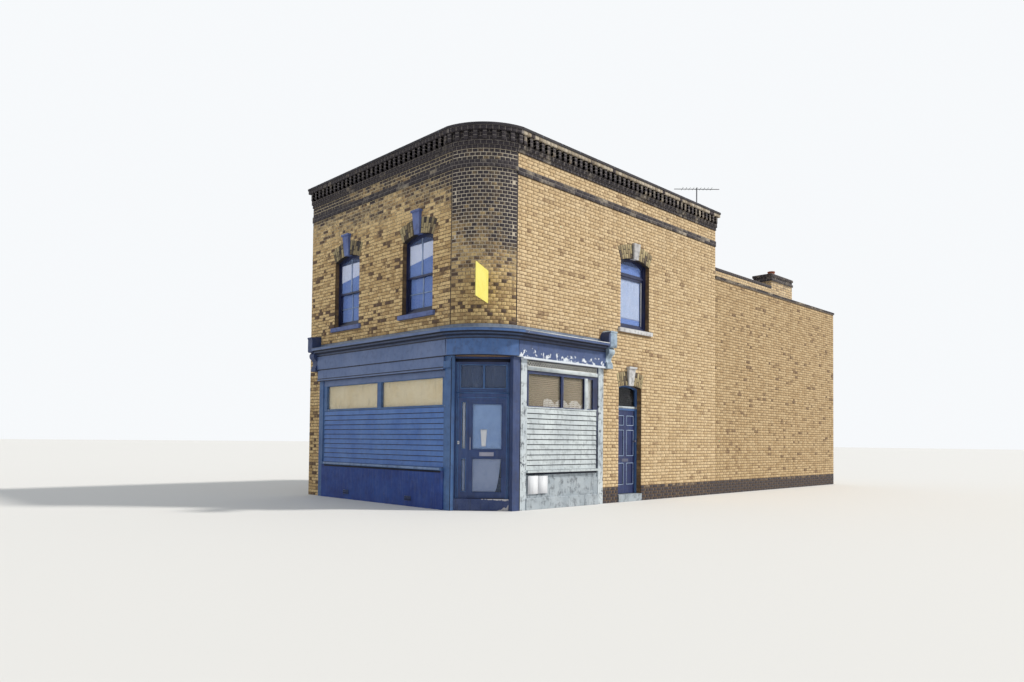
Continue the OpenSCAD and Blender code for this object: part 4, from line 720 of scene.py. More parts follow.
def brickWall(name, wall, rows, made, soot, proud=0.003, depth=0.012, chamfer=0.0025):
    # Bricks stand a little proud of the mortar, unevenly where the distance is one for all
    s, z = rows[:, :4], rows[:, [4, 4, 5, 5]]
    out = proud if np.ndim(proud) else proud + 0.0012 * rng.uniform(-1, 1, len(rows))
    middle = s.mean(axis=1)
    points, faces = blocks(onWall(wall, s, z, out[:, None]), facingAt(wall, middle), depth, chamfer)
    markedBricks(name, points, faces, made, soot(middle, z.mean(axis=1)), 0.30)


def layWall(name, wall, span, high, made, soot, gaps=(), low=0.0, **more):
    brickWall(name, wall, layCourses(span, low, high, gaps=gaps, **more), made, soot)


# Soot on a brick at s along its wall and height z, from 0 to 1
def rising(v, low, span):
    return np.clip((v - low) / span, 0, 1)


def frontSoot(s, z):
    # Darker towards the cornice and beside the bow, with paler patches in the middle
    high, blot = rising(z, 5.9, 1.3), patchNoise(s, z, 0.9, 3)
    return 0.02 + 0.88 * high ** 1.2 + (0.26 + 0.5 * high) * (blot - 0.45) + 0.24 * rising(s, 4.9, 0.6)


def bowSoot(s, z):
    high, edge = rising(z, 4.6, 1.7), rising(s, 0.95, 0.4) * rising(z, 4.6, 0.8)
    return 0.10 + 0.78 * high ** 0.9 + 0.3 * edge + 0.40 * (patchNoise(s, z, 0.5, 5) - 0.5)


def flankSoot(s, z):
    blot, foot = patchNoise(s, z, 1.3, 7), rising(0.40 - z, 0, 0.1)
    return 0.03 + 0.22 * (blot - 0.4) + 0.13 * rising(z, 4.6, 2.0) + 0.95 * foot


def rearSoot(s, z):
    return 0.20 + 0.30 * (patchNoise(s, z, 1.1, 9) - 0.45) + 0.25 * rising(z, 5.5, 2)


def stackSoot(s, z):
    return 0.2 + 0.5 * rising(z, 6.2, 0.4)


def corniceSoot(base, spread, lit=9.0):
    # Even soot with blots; above the height lit the top course is left bare and the dentils under it lighter, as
    # painted sunlight
    def soot(s, z):
        even = np.where(z > lit, 0.0, np.where(z > lit - 0.19, 0.9 * base, base))
        return even + spread * (patchNoise(s, z, 0.35, 21) - 0.5)

    return soot


# Wall, centre along it, width, underside, springing, rise and key of each street opening
streetOpenings = {
    "frontLeft": ("front", 6.42 - 4.795, 1.05, 4.11, 5.69, 0.11, {"top": 6.298, "cap": 0.155}),
    "frontRight": ("front", 6.42 - 2.055, 1.05, 4.11, 5.69, 0.11, {"top": 6.298, "cap": 0.155}),
    "flank": ("flank", 4.975, 1.15, 4.11, 5.69, 0.11, {"top": 6.168, "cap": 0}),
    "sideDoor": ("flank", 4.80, 0.905, -0.1, 2.69, 0.06, {"top": 3.188, "cap": 0.155}),
}
# Wall, centre along it, width, underside, springing of each rear window, and of the back door last
rearOpenings = [("rear", 4.735, 0.9, 1.05, 2.50), ("rear", 4.735, 0.9, 4.11, 5.56), ("yard", 5.796, 0.9, 1.00, 2.25),
                ("yard", 5.796, 0.9, 3.66, 4.81), ("yard", 1.932, 0.9, 3.66, 4.81), ("end", 1.525, 0.9, 3.66, 4.81),
                ("yard", 1.932, 0.86, -0.2, 2.24)]
rearRise = 0.06


def rearTop(s):
    # Height of the rear wall: a valley between the party wall and the flank wall
    return np.where(s < 0.33, 7.67, np.where(s > 6.195, 7.52, 6.75 + np.abs(3.21 - s) * 0.2178))


def wingCover(z):
    # What the wing hides of the rear wall, under its sloping roof
    return (0.0, 3.05 if z < 5.12 else 3.05 - (z - 5.28) / 0.6135 * 2.6 if z < 5.9 else 0.01)


def layWalls():
    corbel, string, stringTop, shopTop = (levels[k] for k in ("corbel", "string", "stringTop", "shopTop"))
    gaps = {name: openingGap(*one[1:], archDepth=0.33) for name, one in streetOpenings.items()}
    layWall("frontBricks", walls["front"], (0.0, 5.485), corbel, "shadeBrick", frontSoot, [
        gaps["frontLeft"], gaps["frontRight"], rectGap(0.492, 6.0, -1, shopTop), rectGap(0.28, 0.5, 3.068, 3.937),
        rectGap(-1, 6, string, stringTop)])
    layWall("bowBricks", bow, (0.003, bow["length"] - 0.003), corbel, "bowBrick", bowSoot, [
        rectGap(-1, 2, string, stringTop)], shopTop, bond="headers")
    layWall("flankBricks", walls["flank"], (0.935, 8.70), corbel, "stockBrick", flankSoot, [
        gaps["flank"], gaps["sideDoor"], rectGap(-1, 3.728, -1, shopTop), rectGap(3.6, 3.953, 3.538, 3.937),
        rectGap(3.7, 3.938, 3.068, 3.55), rectGap(-1, 8.7, string - course, stringTop - course)])
    layWall("wingBricks", walls["flank"], (8.705, 16.745), 5.93, "wingBrick", flankSoot)
    print("street walls laid")
    gaps = {side: [openingGap(*one, rearRise) for at, *one in rearOpenings if at == side] for side in walls}
    layWall("rearBricks", walls["rear"], (0.0, 6.42), 7.68, "stockBrick", rearSoot, [wingCover, *gaps["rear"]],
            top=rearTop)
    layWall("yardBricks", walls["yard"], (0.005, 8.05), 5.01, "stockBrick", rearSoot, gaps["yard"])
    layWall("endBricks", walls["end"], (0.005, 3.045), 5.93, "stockBrick", rearSoot, gaps["end"],
            top=lambda s: np.where(s < 0.225, 5.93, 5.15 + (2.825 - s) * 0.286))
    print("rear walls laid")


# Brick dressings: corbelled cornice, dentils, string courses, arches, parapets and stack
cornice = {"brick": 0.1125, "dentilPitch": 0.175, "dentilWidth": 0.08, "firstDentil": 0.06, "dentilOut": 0.128}
# Bottom, top, how far out and how deep each cornice course is, from the corbel's underside
corniceCourses = [(0.0, 0.065, 0.028, 0.040), (0.074, 0.140, 0.058, 0.050), (0.150, 0.215, 0.058, 0.020),
                  (0.225, 0.290, 0.058, 0.020), (0.300, 0.3365, 0.058, 0.020), (0.3365, 0.408, 0.153, 0.120)]
dentilCourses = [(0.150, 0.215), (0.225, 0.290), (0.300, 0.3355)]
stringCourses = [(0.0, 0.065, 0.025, 0.030), (0.075, 0.140, 0.026, 0.030)]


def ledge(span, low, high, brick, shift=0.0):
    # One course of equal bricks between low and high, started at a shift
    n0, n1 = math.floor((span[0] - shift) / brick), math.ceil((span[1] - shift) / brick)
    edges = np.clip(shift + brick * np.arange(n0, n1 + 1), *span)
    left, right = edges[:-1], edges[1:] - np.where(edges[1:] < span[1], joints["ledge"], 0)
    keep = right - left > smallest["side"]
    return brickRow(left[keep], right[keep], low, high)


def dentilRows(starts, low):
    wide = cornice["dentilWidth"]
    return np.array([brickRow(a, a + wide, low + z0 - 0.001, low + z1) for a in starts for z0, z1 in dentilCourses])


def layLedges(name, wall, span, low, courses, made, soot, brick=cornice["brick"], dentilsAt=None):
    # Rows of bricks with, for each brick, how far out and how deep it is
    laid = [(ledge(span, low + z0 - 0.001, low + z1, brick, 0.05625 * (k % 2)), out, deep)
            for k, (z0, z1, out, deep) in enumerate(courses)]
    if dentilsAt is not None:
        laid.append((dentilRows(dentilsAt, low), cornice["dentilOut"], 0.072))
    rows = np.concatenate([row for row, _, _ in laid])
    outs, depths = (np.concatenate([np.full(len(one[0]), one[k]) for one in laid]) for k in (1, 2))
    brickWall(name, wall, rows, made, soot, outs, depths, 0.003)


def layCornices():
    corbel, string = levels["corbel"], levels["string"]
    front, flank, rounded = (0.0, 5.49), (0.93, 8.70), (0.003, bow["length"] - 0.003)
    wide, pitch, first = cornice["dentilWidth"], cornice["dentilPitch"], cornice["firstDentil"]
    frontAt = front[1] - (first + np.arange(31) * pitch) - wide
    flankAt = flank[0] + (first + np.arange(44) * pitch)
    bowAt = bow["length"] / 2 + (np.arange(9) - 4) * pitch - wide / 2

    def layRun(name, wall, span, low, courses, *soot, **more):
        layLedges(name, wall, span, low, courses, "sootBrick", corniceSoot(*soot), **more)

    layRun("frontCorbels", walls["front"], front, corbel, corniceCourses, 0.90, 0.5, dentilsAt=frontAt)
    # Painted sunlight: on the flank the top corbel course is left clean and the dentils lighter
    layRun("flankCorbels", walls["flank"], flank, corbel, corniceCourses, 0.85, 0.6, corbel + 0.337, dentilsAt=flankAt)
    layRun("bowCorbels", bow, rounded, corbel, corniceCourses, 1.1, 0.3)
    bowRows = dentilRows(bowAt, corbel)
    brickWall("bowDentils", bow, bowRows, "sootBrick", corniceSoot(1.1, 0.3), cornice["dentilOut"], 0.074)
    layRun("frontString", walls["front"], front, string, stringCourses, 0.80, 0.6, brick=0.225)
    layRun("bowString", bow, rounded, string, stringCourses, 0.85, 0.3)
    layRun("flankString", walls["flank"], flank, string - course, stringCourses, 0.80, 0.7, brick=0.225)


def arch(name, wall, centre, width, spring, rise, depth, made, soot, keyAngle=0.0):
    # Fan of bricks: corners at radius and angle about the arch's centre, each slice of a deep arch split in two
    radius, heart = circleOf(width, spring, rise)
    reach, joint = math.atan((width / 2 + opening["skew"]) / (radius - rise)), joints["arch"]
    lean = joint / 2 / (radius + depth / 2)
    corners = []
    for sign in (1, -1) if keyAngle else (1,):
        first = keyAngle or -reach
        count = max(1, round((reach - first) * radius / 0.075))
        for n in range(count):
            t0, t1 = (first + (reach - first) * (n + k) / count + way * lean for k, way in ((0, 1), (1, -1)))
            cut = depth * (0.64 if n % 2 else 0.34)
            for r0, r1 in ((0, cut - joint / 2), (cut + joint / 2, depth)) if depth > 0.25 else ((0, depth),):
                ring = [(radius + r0, t0), (radius + r0, t1), (radius + r1, t1), (radius + r1, t0)]
                if sign < 0:
                    ring = [(r, -t) for r, t in (ring[1], ring[0], ring[3], ring[2])]
                corners.append([(centre + r * math.sin(t), heart + r * math.cos(t)) for r, t in ring])
    corners = np.array(corners)
    out = 0.004 + 0.0015 * rng.uniform(-1, 1, len(corners))
    placed = onWall(wall, corners[..., 0], corners[..., 1], out[:, None])
    points, faces = blocks(placed, facingAt(wall, corners[:, 0, 0]), 0.02, 0.0025)
    middle = corners.mean(axis=1)
    markedBricks(name, points, faces, made, soot(middle[:, 0], middle[:, 1]), 0.9)


def layArches():
    for name, (side, centre, width, _, spring, rise, _) in streetOpenings.items():
        dark = 0.42 if side == "front" else 0.10
        arch(name + "Arch", walls[side], centre, width, spring, rise, 0.33, "archBrick",
             lambda s, z, dark=dark: dark + 0 * s, 0.0725 if width > 1 else 0.058)
    for n, k in enumerate((0, 1, 2, 3, 4, 6, 5)):
        side, centre, width, _, spring = rearOpenings[k]
        arch(f"rearArch{n}", walls[side], centre, width, spring, rearRise, 0.225, "stockBrick", rearSoot)


stack = {"span": (12.04, 13.47), "back": -0.59, "top": 6.415}


def layWingTops():
    # Tile creasing with a brick-on-edge course over it, the raised parapet, and the stack's bricks
    top, flank, span = 5.935, walls["flank"], stack["span"]
    tiles = [(0.020, 0.036, 0.040, 0.060), (0.038, 0.054, 0.040, 0.060), (0.056, 0.074, 0.040, 0.060)]
    layLedges("creasingTiles", flank, (8.70, 16.75), top, tiles, "sootBrick", corniceSoot(0.70, 0.6), 0.165)
    low = top + 0.075
    raised = [(0.008, 0.073, 0.004, 0.012), (0.083, 0.148, 0.004, 0.012), (0.160, 0.236, 0.014, 0.024)]
    layLedges("raisedParapet", flank, (8.705, 12.03), low, raised, "stockBrick",
              lambda s, z: 0.25 + 1.3 * rising(z, 6.15, 0.1))
    rows = layCourses(span, low + 0.003, stack["top"])
    brickWall("stackFront", flank, rows, "stockBrick", stackSoot)
    rows[:, :4] = sum(span) - rows[:, [1, 0, 3, 2]]
    back, near, far = ({"start": start, "facing": facing} for start, facing in (
        ((stack["back"], sum(span)), (-1, 0)), ((stack["back"], span[0]), (0, -1)), ((0.0, span[1]), (0, 1))))
    brickWall("stackBack", back, rows, "stockBrick", stackSoot)
    layWall("stackNear", near, (0.003, 0.587), stack["top"], "stockBrick", stackSoot, low=low + 0.165)
    layWall("stackFar", far, (0.003, 0.587), stack["top"], "stockBrick", stackSoot, low=low + 0.003)
    caps = []
    for level, out, edge in ((0.0, 0.028, 0.025), (0.075, 0.004, 0), (0.150, 0.028, 0.025)):
        for wall, (a, b) in ((flank, span), (back, span), (near, (0.0, -stack["back"])), (far, (0.0, -stack["back"]))):
            row = ledge((a - edge, b + edge), stack["top"] + level + 0.002, stack["top"] + level + 0.068, 0.1125)
            facing = facingAt(wall, (row[:, 0] + row[:, 1]) / 2)
            caps.append(blocks(onWall(wall, row[:, :4], row[:, [4, 4, 5, 5]], out), facing, 0.02, 0.003))
    points, faces = joined(caps)
    count = len(points) // 12
    marks = np.stack([rng.random(count), 0.65 + 0.35 * rng.random(count), rng.random(count)], axis=1)
    newPiece("stackCaps", points, faces, finish["sootBrick"], marks=np.repeat(marks, 12, axis=0))


layWalls()
layCornices()
layArches()
layWingTops()
print("cornices, arches and stack laid")


# Joinery and fittings: measured along a side, outwards and up, or by x, y and z in plan
sides = {**walls, "front": {"start": (0.0, 0.0), "facing": (0, -1)},
         "corner": {"start": (0.0, 0.0), "facing": (flat, -flat)}}


def stand(name, side, points, faces, made, slotName="blue_joinery", body="building", smooth=False):
    a, out, z = np.asarray(points, dtype=float).T
    placed = points + cornerAt if side == "plan" else onWall(sides[side], a, z, out)
    settle(newPiece(name, placed, faces, finish[made], body, smooth=smooth))


def lay(name, side, cells, made, slotName="blue_joinery", body="building", chamfer=0.002):
    # Boxes of along, out and up limits as one piece
    stand(name, side, *joined([box(*cell, chamfer) for cell in cells]), made, slotName, body)


def sheetGrid(span, out, low, high, depth=0.0, folds=1.0, edge=None, sag=None, cols=48, rows=24):
    # Cloth or paper: out = base + depth * sin(folds along the span), right edge and foot drawn in by edge(v) and sag(u)
    u, v = np.meshgrid(np.linspace(0, 1, cols), np.linspace(0, 1, rows))
    a = span[0] + (span[1] - span[0]) * u * (edge(v) if edge else 1)
    foot = low + (sag(u) if sag else 0)
    outs = out + depth * np.sin(2 * math.pi * folds * u + 1.5 * np.sin(3 * u + 2 * v)) * (0.6 + 0.4 * v)
    front = np.stack([a, outs, foot + (high - foot) * v], axis=-1).reshape(-1, 3)
    ids = np.arange(rows * cols).reshape(rows, cols)
    quads = np.stack([ids[:-1, :-1], ids[:-1, 1:], ids[1:, 1:], ids[1:, :-1]], axis=-1).reshape(-1, 4)
    rim = np.concatenate([ids[0, :], ids[1:, -1], ids[-1, -2::-1], ids[-2:0:-1, 0]])
    n = len(front)
    hem = np.stack([rim, np.roll(rim, -1), np.roll(rim, -1) + n, rim + n], axis=1)
    return np.concatenate([front, front - [0, 0.002, 0]]), np.concatenate([quads, quads[:, ::-1] + n, hem])


def hang(name, side, sheet, made, slotName="blue_joinery", body="building", smooth=False, **shape):
    # sheet is span, out, low, high, depth and number of folds
    stand(name, side, *sheetGrid(*sheet, **shape), made, slotName, body, smooth)


def slats(span, out, low, high, pitch, lean=0.9):
    # Closed blind: shallow arcs leaning by an angle, one every pitch
    t = np.linspace(-1, 1, 5)
    across, lift = 0.55 * pitch * t, 0.005 * (1 - t * t)
    ring = np.stack([np.concatenate([lift, lift[::-1] - 0.0015]), np.concatenate([across, across[::-1]])], axis=1)
    ring = ring @ np.array([[math.sin(lean), math.cos(lean)], [-math.cos(lean), math.sin(lean)]])
    points = np.concatenate([np.column_stack([np.full(10, end), ring[:, 0] + out, ring[:, 1]]) for end in span])
    b = np.arange(10)
    around = np.stack([b, (b + 1) % 10, (b + 1) % 10 + 10, b + 10], axis=1)
    caps = np.array([[j, j + 1, 8 - j, 9 - j] for j in range(4)])
    faces = np.concatenate([around, caps[:, ::-1], caps + 10])
    return joined([(points + (0, 0, z), faces) for z in np.arange(low + pitch / 2, high, pitch)])


def bead(a0, a1, z0, z1, out, over, wide=0.014, high=0.007, steps=6):
    # Moulding round a rectangle that it overlaps, mitred at its corners: a half round of (wide, high)
    t = np.linspace(0, math.pi, steps)
    across, lift = wide / 2 - wide / 2 * np.cos(t), out + high * np.sin(t)
    corners = np.array([[a0 - over, z0 - over, 1, 1], [a1 + over, z0 - over, -1, 1],
                        [a1 + over, z1 + over, -1, -1], [a0 - over, z1 + over, 1, -1]], dtype=float)
    a, z = corners[:, 0:1] + corners[:, 2:3] * across, corners[:, 1:2] + corners[:, 3:4] * across
    points = np.stack([a, np.broadcast_to(lift, a.shape), z], axis=-1).reshape(-1, 3)
    k, b = np.arange(4)[:, None], np.arange(steps)
    after, beside = (k + 1) % 4, (b + 1) % steps
    faces = [k * steps + b, k * steps + beside, after * steps + beside, after * steps + b]
    return points, np.stack(faces, axis=-1).reshape(-1, 4)


def slateSlope(name, foot, head, span, level, rise, wide=0.25, gauge=0.19):
    # Rows of slates up one slope, from x = foot to x = head: z = level + rise * distance from the foot. Tails overlap
    way = 1.0 if head > foot else -1.0
    corners = []
    for row in range(int(abs(head - foot) / gauge)):
        y = span[0] + wide * (0.5 * (row % 2) + np.arange(-1, int((span[1] - span[0]) / wide) + 1))
        y0, y1 = np.clip(y, *span), np.clip(y + wide - 0.004, *span)
        y0, y1 = y0[y1 - y0 > 0.03], y1[y1 - y0 > 0.03]
        ends = ((row * gauge, 0.012), ((row + 1) * gauge, 0.006))
        low, high = ((foot + way * t, level + rise * t + lift) for t, lift in ends)
        ring = ((low, y0), (low, y1), (high, y1), (high, y0))
        corners.append(np.stack([np.stack(np.broadcast_arrays(x, y, z), axis=-1) for (x, z), y in ring], axis=1))
    corners = np.concatenate(corners)
    corners[..., 2] += 0.002 * rng.random(len(corners))[:, None]
    normal = unit(np.array([-rise * way, 0.0, 1.0]))
    stand(name, "plan", *blocks(corners, np.tile(normal, (len(corners), 1)), 0.008, 0.0015), "slate", "slate")


roofs = {"valley": (-3.21, 6.65), "pitch": 0.2025, "span": (0.34, 8.47), "wingLevel": 5.28, "wingPitch": 0.22885}


def dressRoofs():
    # Slates on the three slopes, a thin lead face at the valley's street end, flashings, joints in the coping
    (x, z), span, wingLevel, wingPitch = (roofs[k] for k in ("valley", "span", "wingLevel", "wingPitch"))
    slateSlope("westSlates", x, -6.19, span, z, roofs["pitch"])
    slateSlope("eastSlates", x, -0.335, span, z, roofs["pitch"])
    eaves = wingLevel - 0.105 * wingPitch - 0.225 * wingPitch
    slateSlope("wingSlates", -3.155, -0.60, (8.705, 16.52), eaves, wingPitch)
    valleyEnd = [(x + a, 0.335, z + b) for a, b in ((-0.22, 0.060), (0.0, 0.016), (0.22, 0.064), (0.22, 0.060))]
    stand("leadValley", "plan", np.array(valleyEnd), [[0, 1, 2, 3]], "leadSheet", "lead")
    lay("roofFlashings", "plan", [(x, x + 0.009, *span, 7.22, 7.40) for x in (-0.340, -6.194)], "leadSheet", "lead")
    # Steps along the bed joints
    steps = [(x, wingLevel + wingPitch * (x + 0.11 + 2.825)) for x in np.arange(-3.02, -0.40, 0.225)]
    lay("steppedFlashing", "plan", [(x, x + 0.222, 8.7130, 8.7165, z + 0.005, z + 0.150) for x, z in steps],
        "leadSheet", "lead", chamfer=0.001)
    for side, places in (("flank", np.arange(1.5, 8.6, 0.6)), ("front", np.arange(-6.0, -1.0, 0.6))):
        lay(side + "CopingJoints", side, [(a - 0.004, a + 0.004, 0.1645, 0.1715, 7.683, 7.728) for a in places],
            "leadSheet", "soot_brick", chamfer=0.001)


def dressRear():
    # Glazing bars of the plain rear sashes, gutter brackets and the aerial's short rods
    for n, (side, at, _, low, spring) in enumerate(rearOpenings[:-1]):
        half, meet = 0.010, (low + spring) / 2
        lay(f"rearBars{n}", side, [(at - half, at + half, -0.152, -0.124, meet + 0.02, spring - 0.01),
            (at - half, at + half, -0.194, -0.166, low + 0.12, meet)], "palePeeling", "pale_joinery")
    brackets = [(a - 0.012, a + 0.012, 0.024, 0.138, 5.068, 5.079) for a in np.arange(0.4, 8.0, 0.85)]
    lay("gutterBrackets", "yard", brackets, "blackPipe", "black_pipe")
    rods = []
    for d in np.linspace(-0.40, 0.40, 9):
        reach = 0.10 + 0.05 * abs(d)
        points, faces = box(-0.004, 0.004, -reach, reach, 8.446, 8.454, 0.001)
        x, y, z = points.T
        rods.append((np.stack([flat * (x - y + d) - 0.39, flat * (x + y + d) + 8.37, z], axis=1), faces))
    stand("aerialRods", "plan", *joined(rods), "dullAluminium", "aerial_metal")


windowBars = {"wide": 0.020, "upperOut": (-0.152, -0.124), "lowerOut": (-0.192, -0.166), "blindFoot": 5.20}
frontPanes, flankPanes = ((-5.565, -3.430), (-3.280, -1.130)), ((1.293, 2.307), (2.373, 3.070), (3.190, 3.378))


def dressUpperWindows():
    # Bars in the sashes, a short blind and a net curtain behind each of the front windows
    half, upper, lower = windowBars["wide"] / 2, windowBars["upperOut"], windowBars["lowerOut"]
    for name, centre in (("left", -4.795), ("right", -2.055)):
        pane = (centre - 0.445, centre + 0.445)
        lay(name + "WindowBars", "front", [
            (centre - half, centre + half, *upper, 4.925, 5.735), (centre - half, centre + half, *lower, 4.230, 4.895),
            (centre - 0.45, centre + 0.45, *lower, 4.544, 4.564)], "sideBead")
        # Painted reflection: a near-white glowing blind for the sky reflected in the upper sash
        hang(name + "Blind", "front", (pane, -0.1475, windowBars["blindFoot"], 5.62, 0.0015, 1.0), "upperBlind",
             sag=lambda u: 0.12 * u)
        for part, out, low, high in (("Upper", -0.1560, 4.93, 5.62), ("Lower", -0.1930, 4.235, 4.89)):
            hang(name + part + "Curtain", "front", (pane, out, low, high, 0.003, 7.0), "curtain", smooth=True, cols=120)
    pane = (4.575, 5.375)
    hang("flankCurtain", "flank", (pane, -0.1600, 4.36, 5.305, 0.003, 3.0), "paleCurtain", smooth=True, cols=90)
    hang("flankLowCurtain", "flank", (pane, -0.1660, 4.23, 4.40, 0.002, 3.0), "curtain", smooth=True, cols=90)
    hang("flankTopBlind", "flank", ((4.56, 5.39), -0.1620, 5.41, 5.66, 0.002, 1.0), "curtain")
    # Painted shade: a black sheet behind the fanlight for the dark hall
    hang("fanlightShade", "flank", ((4.42, 5.18), -0.1740, 2.26, 2.70, 0.001, 1.0), "blackPipe")
    # Painted highlight: a white strip for the lit edge of the lower sash's stile
    lay("flankSashHighlight", "flank", [(5.385, 5.400, -0.150, -0.128, 4.229, 5.305)], "whitePaper")


def dressShopWindows():
    # Glowing roller blinds behind the front panes as painted reflection, slatted ones behind the flank panes, and
    # crumpled paper at their foot
    for n, (a, b) in enumerate(frontPanes):
        # Painted reflection: glowing cream blinds stand for the pale houses reflected in the front panes
        hang(f"frontShopBlind{n}", "front", ((a - 0.02, b + 0.02), -0.058, 2.09, 2.70, 0.002, 2.0),
             "blindCloth", "window_glass")
    parts = [slats((a + 0.005, b - 0.005), -0.040, 2.12, 2.78, 0.040) for a, b in flankPanes[:2]]
    stand("flankShopBlind", "flank", *joined(parts), "blindSlat", "window_glass", smooth=True)
    for n, span in enumerate(((1.80, 2.307), (2.40, 3.070))):
        points, faces = sheetGrid(span, -0.0295, 2.10, 2.30, 0.002, 5.0, cols=90)
        points[:, 2] = 2.10 + (points[:, 2] - 2.10) * (0.3 + 0.7 * np.abs(np.sin(7.3 * points[:, 0])) ** 0.6)
        stand(f"crumpledPaper{n}", "flank", points, faces, "whitePaper", "window_glass")
    hang("flankShopCurtain", "flank", ((3.185, 3.385), -0.045, 2.10, 2.80, 0.006, 3.0),
         "paleCurtain", "window_glass", smooth=True)
    rails = [(1.25, 3.53, 0.020, 0.030, 2.853, 2.934), (3.075, 3.185, 0.018, 0.026, 2.12, 2.80)]
    lay("flankRail", "flank", rails, "paleRail")
    for side, panes, head, made in (
            ("front", frontPanes, 2.675, "joineryBlue"), ("flank", flankPanes, 2.790, "doorBlue")):
        beads = [bead(*pane, 2.120, head, 0.019, 0.012) for pane in panes]
        stand(side + "PaneBeads", side, *joined(beads), made)


def dressCornerDoor():
    # Film and a bare notice in the leaf's lights, paper in the sidelights, beads and linings round the frame
    body, glass, leaf, side = "corner_door", "window_glass", (-0.205, 0.400), (-0.398, -0.345)
    hang("upperFilm", "corner", (leaf, -0.7615, 1.216, 2.148, 0.002, 0.7), "film", glass, body)
    hang("lowerFilm", "corner", (leaf, -0.7615, 0.359, 1.044), "greyFilm", glass, body,
         edge=lambda v: 0.76 + 0.21 * np.sqrt(v))
    points, faces = sheetGrid((-0.035, 0.095), -0.7505, 1.285, 1.625, 0.001, 1.0, cols=12, rows=8)
    points[:, 0] = 0.03 + (points[:, 0] - 0.03) * (0.62 + 0.38 * (points[:, 2] - 1.285) / 0.34)
    stand("bareNotice", "corner", points, faces, "whitePaper", glass, body)
    hang("sidePaper", "corner", (side, -0.7535, 1.22, 2.19), "whitePaper", glass, cols=6)
    hang("transomCloth", "corner", ((-0.46, 0.49), -0.7570, 2.44, 2.95, 0.001, 9.0), "darkCloth", glass,
         smooth=True, cols=110)
    hang("sideLowPaper", "corner", (side, -0.7535, 0.37, 1.05), "greyFilm", glass, cols=6)
    beads = [bead(-0.195, 0.390, *z, -0.7345, 0.02, 0.022, 0.008) for z in ((1.226, 2.138), (0.369, 1.034))]
    stand("leafBeads", "corner", *joined(beads), "doorBlue", "dark_joinery", body)
    beads = [bead(-0.407, -0.338, *z, -0.7185, 0.015, 0.014, 0.006) for z in ((1.24, 2.17), (0.381, 1.034))]
    beads += [bead(a, b, 2.464, 2.924, -0.7185, 0.02, 0.022, 0.009) for a, b in ((-0.441, 0.009), (0.044, 0.472))]
    stand("frameBeads", "corner", *joined(beads), "joineryBlue")
    t, points, faces = np.linspace(0, math.pi, 7), [], []
    for n, u in enumerate((-0.520, -0.490, 0.500, 0.530)):
        outline = np.stack([u - 0.011 * np.cos(t), -0.7176 + 0.014 * np.sin(t) - 0.002], axis=1)
        more, around = upright(outline, 0.24, 2.98)
        points.append(more)
        faces += [[k + n * len(more) for k in face] for face in around]
    stand("jambBeads", "corner", np.concatenate(points), faces, "joineryBlue")
    lay("transomRail", "corner", [
        (-0.53, 0.54, -0.7176, -0.700, 2.352, 2.376), (-0.50, 0.51, -0.7176, -0.708, 2.398, 2.412),
        (-0.50, 0.51, -0.7176, -0.709, 2.262, 2.280)], "joineryBlue", chamfer=0.004)
    # Painted shade: thin black strips round the leaf for the shadow in the gap between leaf and frame
    lay("leafShadowGap", "corner", [(*u, -0.7340, -0.7325, *z) for u, z in (((-0.3045, -0.2985), (0.240, 2.230)),
        ((0.4605, 0.4665), (0.240, 2.230)), ((-0.3045, 0.4665), (2.226, 2.232)))], "blackPipe", chamfer=0.0003)
    hang("wornStep", "corner", ((0.00, 0.545), -0.6311, 0.19, 0.2359), "chippedStone", "render", cols=90, rows=4,
         sag=lambda u: 0.022 * np.abs(np.sin(11 * u) * np.sin(29 * u + 2)) + 0.03 * (1 - u))
    points, faces = sheetGrid((0.30, 0.545), -0.6311, 0.001, 0.13, cols=40, rows=10)
    points[:, 2] *= np.clip((points[:, 0] - 0.30) / 0.245, 0.02, 1) ** 1.3 * (0.8 + 0.2 * np.sin(60 * points[:, 0]))
    stand("stepChip", "corner", points, faces, "chippedStone", "render")
    lay("bellPush", "corner", [
        (-0.500, -0.458, -0.7176, -0.700, 1.325, 1.390), (-0.490, -0.468, -0.7000, -0.6975, 1.342, 1.372)],
        "whitePaper", "steel_fittings", chamfer=0.004)
    lay("bellButton", "corner", [(-0.486, -0.472, -0.6985, -0.695, 1.348, 1.362)], "blackPipe", "steel_fittings")


